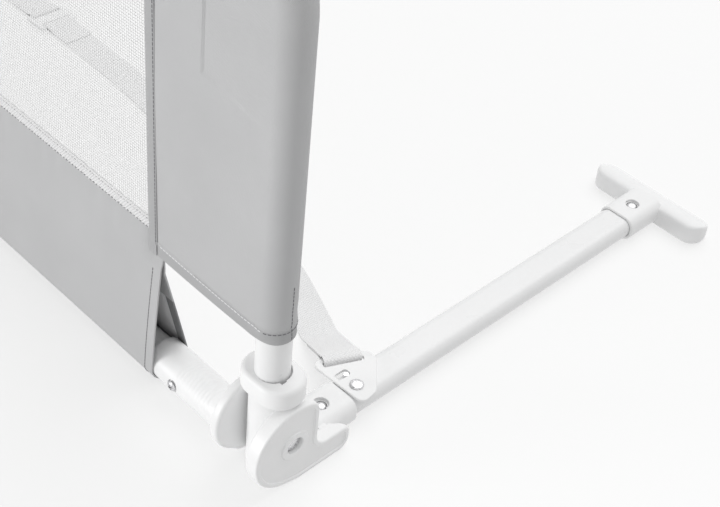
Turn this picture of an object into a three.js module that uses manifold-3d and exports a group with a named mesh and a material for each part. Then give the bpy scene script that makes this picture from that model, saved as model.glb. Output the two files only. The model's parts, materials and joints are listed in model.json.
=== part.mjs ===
// Folding guard rail for the side of a bed, in millimetres, +Z up.
// X runs along the rail, +Y points into the bed, and z = 0 is the bed base that the arms lie on.
// The origin is the middle of the footprint. Each end is built once, in a frame whose origin is
// under its post, with +x pointing away from the middle, and the left end is its mirror image.

import * as THREE from 'three';
import { mergeGeometries, mergeVertices } from 'three/addons/utils/BufferGeometryUtils.js';
import Module from 'manifold-3d';

const wasm = await Module();
wasm.setup();

// Overall sizes
const POST_SPACING = 1144;
const OVERALL_HEIGHT = 440;
const FIT = 0.3;
const OVERRUN = 2;
const ROUND_STEP = Math.PI / 10;
const WIDE_ROUND_STEP = Math.PI / 20;
const TUBE_SIDES = 16;
const BARREL_SIDES = 32;
const PIN_SIDES = 12;
const BEND_STEPS = 6;

// Steel tubes
const TUBE_RADIUS = 12.5;
const TUBE_WALL = 1.3;
const CORNER_BEND = 60;
const SPIGOT_LENGTH = 30;
const SPIGOT_WALL = 1.6;

// Hinge base
const HINGE_HEIGHT = 38;
const CHEEK_RADIUS = 36;
const CHEEK_THICKNESS = 12;
const CHEEK_GAP = 32;
const KEEL_ANGLE = Math.PI * 0.075;
const HORN_ROUND = 8;
const HOOK_WALL = 21.2;
const HOOK_ROUND = 7;
const HOOK_FOOT_HEIGHT = 20.5;
const HOOK_FOOT_REACH = 54;
const TIP_TOP_ROUND = 6;
const TIP_LOW_ROUND = 10;
const RIM_WIDTH = 3.5;
const FIELD_DEPTH = 1.2;
const BOSS_RADIUS = 12;
const COUNTERBORE_RADIUS = 7;
const COUNTERBORE_DEPTH = 5;

// Pivot pin and its clip
const PIVOT_RADIUS = 4;
const PIVOT_HEAD_RADIUS = 6.4;
const PIVOT_HEAD_THICKNESS = 2;
const CLIP_RADIUS = 6.2;
const CLIP_THICKNESS = 1.2;

// Rail sleeve and its screw
const RAIL_OFFSET = -3;
const RAIL_HEIGHT = 17.8;
const RAIL_SLEEVE_RADIUS = 15.6;
const RAIL_SLEEVE_LENGTH = 112;
const RAIL_INSERT = 88;
const SCREW_FROM_CHEEK = 60;
const SCREW_RADIUS = 2;
const SCREW_HEAD_RADIUS = 4.2;
const SCREW_HEAD_HEIGHT = 2.2;
const SCREW_LENGTH = 9;

// Post socket
const SOCKET_BOTTOM = 3;
const BARREL_RADIUS = 17.8;
const COLLAR_BOTTOM = 76.5;
const COLLAR_TOP = 92;
const COLLAR_INNER_REACH = 23;
const COLLAR_OUTER_REACH = 26;
const COLLAR_HALF_WIDTH = 18;
const COLLAR_EDGE = 2.5;
const MOUTH_RADIUS = 14;
const MOUTH_DEPTH = 9;
const MOUTH_SHIFT_SHARES = [0.17, 0.06];
const SWING_CLEARANCE = 0.7;

// Lift of the frame in its sockets
const LIFT_TRAVEL = 15;
const POST_FOOT = 8;
const CROSS_PIN_RADIUS = 2.5;
const CROSS_PIN_RISE = 4;

// Arm, arm sleeve and T-foot
const ARM_WIDTH = 30;
const ARM_HEIGHT = 17.6;
const ARM_ROUND = 7.5;
const ARM_CLEAR_OF_BED = 3;
const ARM_WALL = 1.5;
const ARM_START = 42;
const ARM_SEAT = 30;
const BASE_SLEEVE_WIDTH = 35;
const BASE_SLEEVE_HEIGHT = 23;
const SLEEVE_ROUND = 9;
const FOOT_SLEEVE_LENGTH = 38;
const FOOT_SLEEVE_WIDTH = 34.6;
const FOOT_SLEEVE_HEIGHT = 22.6;
const FOOT_BAR_LENGTH = 116;
const FOOT_BAR_FRONT = 440;
const FOOT_WALL = 4;
const FOOT_BAR_DEPTH = 29;
const FOOT_RIDGE = 20;
const FOOT_BACK_HEIGHT = 11;
const FOOT_FRONT_CORNER = 14;
const FOOT_BACK_CORNER = 8;
const FOOT_EDGE_ROUND = 2;

// Snap buttons and their leaf springs
const BASE_BUTTON_INSET = 8.5;
const FOOT_BUTTON_INSET = 13;
const BUTTON_RADIUS = 4.7;
const BUTTON_HOLE_RADIUS = 5.6;
const BUTTON_TOP = 22.4;
const BUTTON_DOME_HEIGHT = 2;
const BUTTON_FLANGE_RADIUS = 6.4;
const BUTTON_FLANGE_THICKNESS = 1;
const SPRING_WIDTH = 8;
const SPRING_LENGTH = 26;
const SPRING_LEAF = 0.7;

// Strap plate, rivet and stud
const PLATE_WIDTH = 51;
const PLATE_DEPTH = 41;
const PLATE_THICKNESS = 2.4;
const PLATE_ROUND = 6;
const PLATE_CORNER_SHARES = [[-0.79, -0.29], [0.32, -0.23], [0.27, 0.18], [-0.21, 0.77], [-0.41, 0.78]];
const RIVET_ASIDE = 3.4;
const RIVET_FROM_SLEEVE = 11.5;
const RIVET_RADIUS = 2.2;
const RIVET_HEAD_RADIUS = 5.5;
const RIVET_HEAD_HEIGHT = 1.8;
const RIVET_LENGTH = 5;
const STUD_RADIUS = 2;
const STUD_PLACE_SHARES = [-0.26, 0.05];
const STUD_SLOT_LENGTH = 11.5;
const STUD_SLOT_WIDTH = 5.4;
const STUD_HEIGHT = 1.4;

// Webbing straps and the slider between them
const STRAP_WIDTH = 30;
const STRAP_PLY = 1.2;
const STRAP_TURN = Math.PI * 24 / 180;
const STRAP_RAMP = 48;
const STRAP_SEWN = 35;
const STRAP_MERGE = 12;
const BAR_WIDTH = 4;
const BAR_PLACE_SHARE = 0.54;
const SLOT_WIDTH = 3.6;
const SLOT_SPARE = 2;
const SLIDER_BAR_PLACE = 12;
const SLIDER_RIM = 5;
const SLIDER_ROUND = 3;
const STRAP_STEPS = 16;

// Fabric cover
const FABRIC = 1.2;
const HEM_HEIGHT = 127;
const SIDE_PANEL_WIDTH = 114;
const BAND_TOP = 147;
const BINDING_HEIGHT = 10;
const BINDING_SWELL = 0.6;
const TOP_BAND_DROP = 34;
const NET_COLUMNS = 22;
const NET_ROWS = 5;
const NET_STRAND = 5;

// Worked out from the sizes above
const HINGE_Y = (CHEEK_RADIUS - FOOT_BAR_FRONT - FOOT_BAR_DEPTH) / 2;
const CHEEK_INNER_FACE = CHEEK_GAP / 2;
const CHEEK_OUTER_FACE = CHEEK_INNER_FACE + CHEEK_THICKNESS;
const SLEEVE_OF_FABRIC = TUBE_RADIUS + FIT + FABRIC;
const TOP_AXIS = OVERALL_HEIGHT - SLEEVE_OF_FABRIC;
const BEND_START = TOP_AXIS - CORNER_BEND;
const SEAM = -SIDE_PANEL_WIDTH;
const TOP_SEAM_HEIGHT = TOP_AXIS - TOP_BAND_DROP;
const ARM_TOP = ARM_CLEAR_OF_BED + ARM_HEIGHT;
const ARM_END = FOOT_BAR_FRONT - FOOT_WALL;
const BASE_SLEEVE_END = ARM_START + ARM_SEAT;
const FOOT_SLEEVE_START = FOOT_BAR_FRONT - FOOT_SLEEVE_LENGTH;
const BASE_BUTTON_PLACE = ARM_START + BASE_BUTTON_INSET;
const FOOT_BUTTON_PLACE = ARM_END - FOOT_BUTTON_INSET;
const RIVET_PLACE = [RIVET_ASIDE, BASE_SLEEVE_END + RIVET_FROM_SLEEVE];
const PLATE_BOTTOM = ARM_TOP + FIT;
const CROSS_PIN_HEIGHT = POST_FOOT + CROSS_PIN_RISE;
const POCKET_RADIUS = RAIL_SLEEVE_RADIUS + FIT + FABRIC;
const SPLIT_RADIUS = Math.hypot(RAIL_OFFSET, HINGE_HEIGHT - RAIL_HEIGHT) + POCKET_RADIUS + FIT;
const SWING_RADIUS = Math.hypot(HINGE_HEIGHT - SOCKET_BOTTOM, BARREL_RADIUS) + SWING_CLEARANCE;

// Colours
const PLASTIC = { color: 0xeeeeec, roughness: 0.45, metalness: 0 };
const POWDER_COAT = { color: 0xf0f0ef, roughness: 0.4, metalness: 0 };
const STEEL = { color: 0xb9babc, roughness: 0.25, metalness: 1 };
const GREY_FABRIC = { color: 0xc4c4c4, roughness: 0.9, metalness: 0 };
const WHITE_NET = { color: 0xf4f4f4, roughness: 0.9, metalness: 0 };
const WEBBING = { color: 0xefefef, roughness: 0.85, metalness: 0 };

// Outlines

function arc(cx, cy, radius, from, to, step = ROUND_STEP) {
  const count = Math.max(2, Math.round(Math.abs(to - from) / step));
  return Array.from({ length: count + 1 }, (_, i) => {
    const angle = from + (to - from) * i / count;
    return new THREE.Vector2(cx + radius * Math.cos(angle), cy + radius * Math.sin(angle));
  });
}

function circle(cx, cy, radius, sides = TUBE_SIDES) {
  return arc(cx, cy, radius, 0, 2 * Math.PI, 2 * Math.PI / sides).slice(0, -1);
}

// A closed outline through corners given as [x, y, radius].
function rounded(corners) {
  return corners.flatMap(([x, y, radius], i) => {
    const corner = new THREE.Vector2(x, y);
    if (!radius) return [corner];
    const before = new THREE.Vector2(...corners.at(i - 1)).sub(corner).normalize();
    const after = new THREE.Vector2(...corners[(i + 1) % corners.length]).sub(corner).normalize();
    const half = Math.acos(before.dot(after)) / 2;
    const middle = before.clone().add(after).normalize();
    const centre = corner.clone().addScaledVector(middle, radius / Math.sin(half));
    const start = corner.clone().addScaledVector(before, radius / Math.tan(half)).sub(centre);
    const end = corner.clone().addScaledVector(after, radius / Math.tan(half)).sub(centre);
    const sweep = Math.atan2(start.cross(end), start.dot(end));
    return arc(centre.x, centre.y, radius, start.angle(), start.angle() + sweep);
  });
}

function box(x0, y0, x1, y1, radius = 0) {
  return rounded([[x0, y0, radius], [x1, y0, radius], [x1, y1, radius], [x0, y1, radius]]);
}

// A flat sleeve of cloth: it wraps a tube at the origin and its two plies meet at a seam.
function sleeveOutline(seam, radius) {
  const towards = seam.angle();
  const half = Math.acos(radius / seam.length());
  return [seam, ...arc(0, 0, radius, towards + half, towards - half + 2 * Math.PI)];
}

// Solids, cuts and joins

function extrude(outline, depth, holes = []) {
  const shape = new THREE.Shape(outline);
  shape.holes = holes.map((hole) => new THREE.Path(hole));
  return new THREE.ExtrudeGeometry(shape, { depth, bevelEnabled: false });
}

function turned(geometry, x, y, z) {
  const axes = [x, y, z].map((axis) => new THREE.Vector3(...axis));
  return geometry.applyMatrix4(new THREE.Matrix4().makeBasis(...axes));
}

// An outline in (y, z), from x0 to x1.
function alongX(outline, x0, x1, holes = []) {
  return turned(extrude(outline, x1 - x0, holes), [0, 1, 0], [0, 0, 1], [1, 0, 0]).translate(x0, 0, 0);
}

// An outline in (x, z), from y0 to y1.
function alongY(outline, y0, y1, holes = []) {
  return turned(extrude(outline, y1 - y0, holes), [1, 0, 0], [0, 0, 1], [0, -1, 0]).translate(0, y1, 0);
}

// An outline in (x, y), from z0 to z1.
function alongZ(outline, z0, z1, holes = []) {
  return extrude(outline, z1 - z0, holes).translate(0, 0, z0);
}

function solid(geometry) {
  const bare = geometry.clone();
  bare.deleteAttribute('normal');
  bare.deleteAttribute('uv');
  const merged = mergeVertices(bare);
  return new wasm.Manifold(new wasm.Mesh({
    numProp: 3,
    vertProperties: merged.attributes.position.array,
    triVerts: new Uint32Array(merged.index.array),
  }));
}

function geometryOf(manifold) {
  const mesh = manifold.getMesh();
  const geometry = new THREE.BufferGeometry();
  geometry.setAttribute('position', new THREE.BufferAttribute(mesh.vertProperties, 3));
  geometry.setIndex(new THREE.BufferAttribute(mesh.triVerts, 1));
  return geometry;
}

function joined(pieces, cuts = []) {
  const whole = pieces.map(solid).reduce((sum, piece) => sum.add(piece));
  return geometryOf(cuts.map(solid).reduce((rest, cut) => rest.subtract(cut), whole));
}

function common(first, second) {
  return geometryOf(solid(first).intersect(solid(second)));
}

function mirrored(geometry) {
  const bare = geometry.clone();
  bare.deleteAttribute('normal');
  bare.deleteAttribute('uv');
  const copy = mergeVertices(bare).scale(-1, 1, 1);
  const index = copy.index.array;
  for (let i = 0; i < index.length; i += 3) {
    [index[i], index[i + 1]] = [index[i + 1], index[i]];
  }
  return copy;
}

// Hinge base

// The hook-shaped cheek seen from the side, drawn in by `inset` all round.
function hookOutline(inset) {
  const radius = CHEEK_RADIUS - inset;
  const horn = HORN_ROUND - inset;
  const wall = HOOK_WALL - inset;
  const top = HOOK_FOOT_HEIGHT - inset;
  const hornX = wall - horn;
  const hornY = Math.sqrt((radius - horn) ** 2 - hornX ** 2);
  const hornAngle = Math.atan2(hornY, hornX);
  return [
    ...arc(hornX, HINGE_HEIGHT + hornY, horn, 0, hornAngle),
    ...arc(0, HINGE_HEIGHT, radius, hornAngle, 1.5 * Math.PI - KEEL_ANGLE, WIDE_ROUND_STEP),
    ...footOutline(inset),
    ...arc(wall + HOOK_ROUND + inset, top + HOOK_ROUND + inset, HOOK_ROUND + inset, 1.5 * Math.PI, Math.PI),
  ];
}

// The round cheek, which has the same foot and no hook.
function roundCheekOutline() {
  const rise = HINGE_HEIGHT - HOOK_FOOT_HEIGHT;
  const meets = -Math.asin(rise / CHEEK_RADIUS);
  return [
    ...arc(0, HINGE_HEIGHT, CHEEK_RADIUS, meets, 1.5 * Math.PI - KEEL_ANGLE, WIDE_ROUND_STEP),
    ...footOutline(0),
  ];
}

// The low foot, from the end of the keel, round the tip and back to the start of its flat top.
function footOutline(inset) {
  const radius = CHEEK_RADIUS - inset;
  const keelX = (radius - (HINGE_HEIGHT - inset) * Math.cos(KEEL_ANGLE)) / Math.sin(KEEL_ANGLE);
  const tip = HOOK_FOOT_REACH - inset;
  const low = TIP_LOW_ROUND - inset;
  const high = TIP_TOP_ROUND - inset;
  const top = HOOK_FOOT_HEIGHT - inset;
  return [
    new THREE.Vector2(-keelX, inset),
    ...arc(tip - low, inset + low, low, -Math.PI / 2, 0),
    ...arc(tip - high, top - high, high, 0, Math.PI / 2),
  ];
}

function sleeveSection(width, height, clearOfBed, radius) {
  return box(-width / 2, clearOfBed, width / 2, height, radius);
}

function armSection(grow) {
  return box(
    -ARM_WIDTH / 2 - grow,
    ARM_CLEAR_OF_BED - grow,
    ARM_WIDTH / 2 + grow,
    ARM_TOP + grow,
    ARM_ROUND + grow,
  );
}

function upright(place, radius, bottom, top, sides = PIN_SIDES) {
  return alongZ(circle(0, place, radius, sides), bottom, top);
}

function hingeBase() {
  const farEnd = -CHEEK_OUTER_FACE - RAIL_SLEEVE_LENGTH;
  const axle = circle(0, HINGE_HEIGHT, PIVOT_RADIUS + FIT, TUBE_SIDES);
  const well = circle(0, HINGE_HEIGHT, COUNTERBORE_RADIUS);
  const sleeve = sleeveSection(BASE_SLEEVE_WIDTH, BASE_SLEEVE_HEIGHT, 0, SLEEVE_ROUND);
  const hook = alongX(hookOutline(0), CHEEK_INNER_FACE, CHEEK_OUTER_FACE);
  const cheek = alongX(roundCheekOutline(), -CHEEK_OUTER_FACE, -CHEEK_INNER_FACE);
  const armSleeve = alongY(sleeve, HOOK_WALL, BASE_SLEEVE_END);
  const railRing = circle(RAIL_OFFSET, RAIL_HEIGHT, RAIL_SLEEVE_RADIUS);
  const railSleeve = alongX(railRing, farEnd, -CHEEK_INNER_FACE - FIT);
  const railBore = circle(RAIL_OFFSET, RAIL_HEIGHT, TUBE_RADIUS + FIT);
  const swing = circle(0, HINGE_HEIGHT, SWING_RADIUS, BARREL_SIDES);
  const armMiddle = ARM_CLEAR_OF_BED + ARM_HEIGHT / 2;
  const cuts = [
    alongX(swing, -CHEEK_INNER_FACE, CHEEK_INNER_FACE),
    alongY(armSection(FIT), ARM_START - FIT, BASE_SLEEVE_END + OVERRUN),
    alongX(axle, -CHEEK_OUTER_FACE - OVERRUN, CHEEK_OUTER_FACE + OVERRUN),
    alongX(well, CHEEK_OUTER_FACE - COUNTERBORE_DEPTH, CHEEK_OUTER_FACE + OVERRUN),
    alongX(well, -CHEEK_OUTER_FACE - OVERRUN, -CHEEK_OUTER_FACE + COUNTERBORE_DEPTH),
    alongX(hookOutline(RIM_WIDTH), CHEEK_OUTER_FACE - FIELD_DEPTH, CHEEK_OUTER_FACE + OVERRUN,
      [circle(0, HINGE_HEIGHT, BOSS_RADIUS)]),
    alongX(railBore, farEnd - OVERRUN, farEnd + RAIL_INSERT + FIT),
    upright(BASE_BUTTON_PLACE, BUTTON_HOLE_RADIUS, armMiddle, BASE_SLEEVE_HEIGHT + OVERRUN),
    screwHole(),
  ];
  return joined([hook, cheek, armSleeve, railSleeve], cuts);
}

function screwPlace() {
  return -CHEEK_OUTER_FACE - SCREW_FROM_CHEEK;
}

function screwHole() {
  const front = RAIL_OFFSET - RAIL_SLEEVE_RADIUS;
  const hole = circle(screwPlace(), RAIL_HEIGHT, SCREW_RADIUS + FIT, PIN_SIDES);
  return alongY(hole, front - OVERRUN, front + SCREW_LENGTH + OVERRUN);
}

function railScrew() {
  const front = RAIL_OFFSET - RAIL_SLEEVE_RADIUS - FIT;
  const profile = [
    new THREE.Vector2(0, 0),
    new THREE.Vector2(SCREW_RADIUS, 0),
    new THREE.Vector2(SCREW_RADIUS, SCREW_LENGTH),
    new THREE.Vector2(SCREW_HEAD_RADIUS, SCREW_LENGTH),
    ...domeProfile(SCREW_HEAD_RADIUS, SCREW_LENGTH, SCREW_HEAD_HEIGHT),
  ];
  const lathe = new THREE.LatheGeometry(profile, PIN_SIDES);
  return lathe.rotateX(Math.PI).translate(screwPlace(), front + SCREW_LENGTH, RAIL_HEIGHT);
}

// The rounded top of a head, from its rim up to the axis, as a lathe profile.
function domeProfile(radius, base, height) {
  return arc(0, 0, 1, 0, Math.PI / 2, Math.PI / 6).slice(1).map((point) =>
    new THREE.Vector2(Math.max(0, point.x * radius), base + point.y * height));
}

// Pivot pin, with a head in the outer cheek and a clip in the inner one

function pivotPin() {
  const head = CHEEK_OUTER_FACE - COUNTERBORE_DEPTH + FIT;
  const end = -CHEEK_OUTER_FACE + COUNTERBORE_DEPTH - FIT - 2 * CLIP_THICKNESS;
  return joined([
    alongX(circle(0, HINGE_HEIGHT, PIVOT_RADIUS), end, head + OVERRUN / 2),
    alongX(circle(0, HINGE_HEIGHT, PIVOT_HEAD_RADIUS), head, head + PIVOT_HEAD_THICKNESS),
  ]);
}

function pivotClip() {
  const face = -CHEEK_OUTER_FACE + COUNTERBORE_DEPTH - FIT;
  const hole = circle(0, HINGE_HEIGHT, PIVOT_RADIUS + FIT);
  return alongX(circle(0, HINGE_HEIGHT, CLIP_RADIUS), face - CLIP_THICKNESS, face, [hole]);
}

// Post socket

function collarOutline(grow) {
  const half = COLLAR_HALF_WIDTH + grow;
  return box(-COLLAR_INNER_REACH - grow, -half, COLLAR_OUTER_REACH + grow, half, half - FIT);
}

function postSocket() {
  const flats = box(-CHEEK_INNER_FACE + FIT, -BARREL_RADIUS, CHEEK_INNER_FACE - FIT, BARREL_RADIUS);
  const barrel = common(
    alongZ(circle(0, 0, BARREL_RADIUS, BARREL_SIDES), SOCKET_BOTTOM, COLLAR_BOTTOM + OVERRUN),
    alongZ(flats, SOCKET_BOTTOM, COLLAR_BOTTOM + OVERRUN),
  );
  const collar = new THREE.ExtrudeGeometry(new THREE.Shape(collarOutline(-COLLAR_EDGE)), {
    depth: COLLAR_TOP - COLLAR_BOTTOM - 2 * COLLAR_EDGE,
    bevelSize: COLLAR_EDGE,
    bevelThickness: COLLAR_EDGE,
    bevelSegments: 2,
  }).translate(0, 0, COLLAR_BOTTOM + COLLAR_EDGE);
  const mouth = MOUTH_SHIFT_SHARES.map((share) => share * MOUTH_RADIUS);
  const slotReach = CROSS_PIN_RADIUS + FIT;
  const slot = box(-slotReach, CROSS_PIN_HEIGHT - slotReach,
    slotReach, CROSS_PIN_HEIGHT + LIFT_TRAVEL + slotReach, CROSS_PIN_RADIUS);
  return joined([barrel, collar], [
    alongZ(circle(0, 0, TUBE_RADIUS + FIT), SOCKET_BOTTOM - OVERRUN, COLLAR_TOP + OVERRUN),
    alongZ(circle(...mouth, MOUTH_RADIUS), COLLAR_TOP - MOUTH_DEPTH, COLLAR_TOP + OVERRUN),
    alongX(circle(0, HINGE_HEIGHT, PIVOT_RADIUS + FIT), -BARREL_RADIUS, BARREL_RADIUS),
    alongX(slot, -BARREL_RADIUS, BARREL_RADIUS),
  ]);
}

// Frame tubes

function postTube() {
  const inner = circle(0, 0, TUBE_RADIUS - TUBE_WALL);
  const tube = alongZ(circle(0, 0, TUBE_RADIUS), POST_FOOT, BEND_START - FIT, [inner]);
  const reach = PIVOT_RADIUS + FIT;
  const slot = box(-reach, HINGE_HEIGHT - LIFT_TRAVEL - reach, reach, HINGE_HEIGHT + reach, PIVOT_RADIUS);
  return joined([tube], [
    alongX(slot, -BARREL_RADIUS, BARREL_RADIUS),
    alongX(circle(0, CROSS_PIN_HEIGHT, CROSS_PIN_RADIUS + FIT, PIN_SIDES), -BARREL_RADIUS, BARREL_RADIUS),
  ]);
}

function crossPin() {
  const half = CHEEK_INNER_FACE - 2 * FIT;
  return alongX(circle(0, CROSS_PIN_HEIGHT, CROSS_PIN_RADIUS, PIN_SIDES), -half, half);
}

// The bend from a post into the top rail: a quarter circle with a straight lead at each end.
class Bend extends THREE.Curve {
  constructor(lead) {
    super();
    this.lead = lead;
  }

  getPoint(t) {
    const quarter = CORNER_BEND * Math.PI / 2;
    const along = t * (quarter + 2 * this.lead) - this.lead;
    const angle = THREE.MathUtils.clamp(along, 0, quarter) / CORNER_BEND;
    const x = CORNER_BEND * (Math.cos(angle) - 1) - Math.max(0, along - quarter);
    const z = BEND_START + CORNER_BEND * Math.sin(angle) + Math.min(0, along);
    return new THREE.Vector3(x, 0, z);
  }
}

function bentTube(outer, inner, lead) {
  const shape = new THREE.Shape(circle(0, 0, outer));
  shape.holes = [new THREE.Path(circle(0, 0, inner))];
  const extrudePath = new Bend(lead);
  return new THREE.ExtrudeGeometry(shape, { extrudePath, steps: BEND_STEPS, bevelEnabled: false });
}

function cornerTube() {
  const spigot = TUBE_RADIUS - TUBE_WALL - FIT;
  const bore = spigot - SPIGOT_WALL;
  const ring = circle(0, 0, spigot);
  const hole = circle(0, 0, bore);
  const topRing = circle(0, TOP_AXIS, spigot);
  const topHole = circle(0, TOP_AXIS, bore);
  return joined([
    bentTube(TUBE_RADIUS, bore, 0),
    alongZ(ring, BEND_START - SPIGOT_LENGTH, BEND_START + OVERRUN, [hole]),
    alongX(topRing, -CORNER_BEND - SPIGOT_LENGTH, -CORNER_BEND + OVERRUN, [topHole]),
  ], [
    alongZ(hole, BEND_START - SPIGOT_LENGTH - OVERRUN, BEND_START),
    alongX(topHole, -CORNER_BEND - SPIGOT_LENGTH - OVERRUN, -CORNER_BEND),
  ]);
}

// Arm and T-foot

function armTube() {
  const bottom = ARM_CLEAR_OF_BED + ARM_HEIGHT / 2;
  const top = ARM_TOP + OVERRUN;
  return joined([alongY(armSection(0), ARM_START, ARM_END, [armSection(-ARM_WALL)])], [
    upright(BASE_BUTTON_PLACE, BUTTON_RADIUS + FIT, bottom, top),
    upright(FOOT_BUTTON_PLACE, BUTTON_RADIUS + FIT, bottom, top),
    upright(RIVET_PLACE[1], RIVET_RADIUS + FIT, bottom, top).translate(RIVET_PLACE[0], 0, 0),
    upright(studPlace().y, STUD_RADIUS + FIT, bottom, top).translate(studPlace().x, 0, 0),
  ]);
}

function armFoot() {
  const back = FOOT_BAR_FRONT + FOOT_BAR_DEPTH;
  const half = FOOT_BAR_LENGTH / 2;
  const section = rounded([
    [FOOT_BAR_FRONT, 0, FOOT_EDGE_ROUND],
    [back, 0, FOOT_EDGE_ROUND],
    [back, FOOT_BACK_HEIGHT, FOOT_EDGE_ROUND],
    [FOOT_BAR_FRONT, FOOT_RIDGE, FOOT_EDGE_ROUND],
  ]);
  const plan = rounded([
    [-half, FOOT_BAR_FRONT, FOOT_FRONT_CORNER],
    [half, FOOT_BAR_FRONT, FOOT_FRONT_CORNER],
    [half, back, FOOT_BACK_CORNER],
    [-half, back, FOOT_BACK_CORNER],
  ]);
  const bar = common(alongX(section, -half, half), alongZ(plan, 0, FOOT_RIDGE));
  const sleeve = sleeveSection(FOOT_SLEEVE_WIDTH, FOOT_SLEEVE_HEIGHT, 0, SLEEVE_ROUND);
  const armMiddle = ARM_CLEAR_OF_BED + ARM_HEIGHT / 2;
  return joined([bar, alongY(sleeve, FOOT_SLEEVE_START, FOOT_BAR_FRONT + OVERRUN)], [
    alongY(armSection(FIT), FOOT_SLEEVE_START - OVERRUN, ARM_END + FIT),
    upright(FOOT_BUTTON_PLACE, BUTTON_HOLE_RADIUS, armMiddle, FOOT_SLEEVE_HEIGHT + OVERRUN),
  ]);
}

function snapButton(place) {
  const flangeTop = ARM_TOP - ARM_WALL - FIT;
  const flangeBottom = flangeTop - BUTTON_FLANGE_THICKNESS;
  const profile = [
    new THREE.Vector2(0, flangeBottom),
    new THREE.Vector2(BUTTON_FLANGE_RADIUS, flangeBottom),
    new THREE.Vector2(BUTTON_FLANGE_RADIUS, flangeTop),
    new THREE.Vector2(BUTTON_RADIUS, flangeTop),
    new THREE.Vector2(BUTTON_RADIUS, BUTTON_TOP - BUTTON_DOME_HEIGHT),
    ...domeProfile(BUTTON_RADIUS, BUTTON_TOP - BUTTON_DOME_HEIGHT, BUTTON_DOME_HEIGHT),
  ];
  return new THREE.LatheGeometry(profile, PIN_SIDES).rotateX(Math.PI / 2).translate(0, place, 0);
}

// A leaf bent to a V, lying on the floor of the arm tube with its free end under a button.
function buttonSpring(place, towards) {
  const floor = ARM_CLEAR_OF_BED + ARM_WALL + FIT;
  const top = ARM_TOP - ARM_WALL - 2 * FIT - BUTTON_FLANGE_THICKNESS;
  const near = place - towards * BUTTON_RADIUS;
  const far = place + towards * SPRING_LENGTH;
  const bend = far - towards * SPRING_LEAF;
  const outline = [[near, top], [far, floor], [near, floor], [near, floor + SPRING_LEAF],
    [bend - towards * 2 * SPRING_LEAF, floor + SPRING_LEAF], [near, top - SPRING_LEAF]];
  const points = outline.map((point) => new THREE.Vector2(...point));
  return alongX(points, -SPRING_WIDTH / 2, SPRING_WIDTH / 2);
}

// Strap plate, rivet and stud

function platePoint(share) {
  return new THREE.Vector2(RIVET_PLACE[0] + share[0] * PLATE_WIDTH, RIVET_PLACE[1] + share[1] * PLATE_DEPTH);
}

function studPlace() {
  return platePoint(STUD_PLACE_SHARES);
}

// The middle of the bar that the strap is looped round, along the plate's outer edge.
function barPlace() {
  const low = platePoint(PLATE_CORNER_SHARES[0]);
  const high = platePoint(PLATE_CORNER_SHARES.at(-1));
  const inward = new THREE.Vector2(Math.cos(STRAP_TURN), -Math.sin(STRAP_TURN));
  return low.lerp(high, BAR_PLACE_SHARE).addScaledVector(inward, BAR_WIDTH / 2);
}

// Takes a shape drawn along the strap, with x pointing away from the arm, to its place on the plate.
function alongStrap(geometry, place) {
  return geometry.rotateZ(Math.PI - STRAP_TURN).translate(place.x, place.y, 0);
}

function strapPlate() {
  const corners = PLATE_CORNER_SHARES.map((share) => [...platePoint(share), PLATE_ROUND]);
  const bottom = PLATE_BOTTOM - OVERRUN;
  const top = PLATE_BOTTOM + PLATE_THICKNESS + OVERRUN;
  const slotHalf = STRAP_WIDTH / 2 + SLOT_SPARE / 2;
  const slot = box(-BAR_WIDTH / 2 - SLOT_WIDTH, -slotHalf, -BAR_WIDTH / 2, slotHalf);
  const stud = studPlace();
  const studHalf = STUD_SLOT_WIDTH / 2;
  const slotEnd = stud.y + studHalf;
  const slotStart = slotEnd - STUD_SLOT_LENGTH;
  const studSlot = box(stud.x - studHalf, slotStart, stud.x + studHalf, slotEnd, studHalf - FIT);
  return joined([alongZ(rounded(corners), PLATE_BOTTOM, PLATE_BOTTOM + PLATE_THICKNESS)], [
    alongStrap(alongZ(slot, bottom, top), barPlace()),
    alongZ(studSlot, bottom, top),
    alongZ(circle(...RIVET_PLACE, RIVET_RADIUS + FIT, PIN_SIDES), bottom, top),
  ]);
}

function pinWithHead(radius, length, headRadius, headHeight) {
  return new THREE.LatheGeometry([
    new THREE.Vector2(0, -length),
    new THREE.Vector2(radius, -length),
    new THREE.Vector2(radius, 0),
    new THREE.Vector2(headRadius, 0),
    ...domeProfile(headRadius, 0, headHeight),
  ], PIN_SIDES).rotateX(Math.PI / 2);
}

function strapRivet() {
  const head = PLATE_BOTTOM + PLATE_THICKNESS + FIT;
  return pinWithHead(RIVET_RADIUS, RIVET_LENGTH, RIVET_HEAD_RADIUS, RIVET_HEAD_HEIGHT)
    .translate(...RIVET_PLACE, head);
}

function strapStud() {
  const stud = studPlace();
  const bottom = ARM_TOP - ARM_WALL - STUD_HEIGHT;
  return alongZ(circle(stud.x, stud.y, STUD_RADIUS, PIN_SIDES), bottom, ARM_TOP + STUD_HEIGHT);
}

// Straps. Each is one ribbon. Its line is drawn in (s, z), where s runs along the strap from the bar of
// its plate, and it is then laid out in plan, where it curves round to meet the slider.

function curveStart() {
  const along = new THREE.Vector2(-Math.cos(STRAP_TURN), Math.sin(STRAP_TURN));
  return barPlace().addScaledVector(along, STRAP_RAMP);
}

function curveRadius() {
  const endX = -POST_SPACING / 2 + SLIDER_BAR_PLACE + STRAP_SEWN;
  return (curveStart().x - endX) / Math.sin(STRAP_TURN);
}

function curveCentre() {
  const outwards = new THREE.Vector2(Math.sin(STRAP_TURN), Math.cos(STRAP_TURN));
  return curveStart().addScaledVector(outwards, -curveRadius());
}

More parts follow.
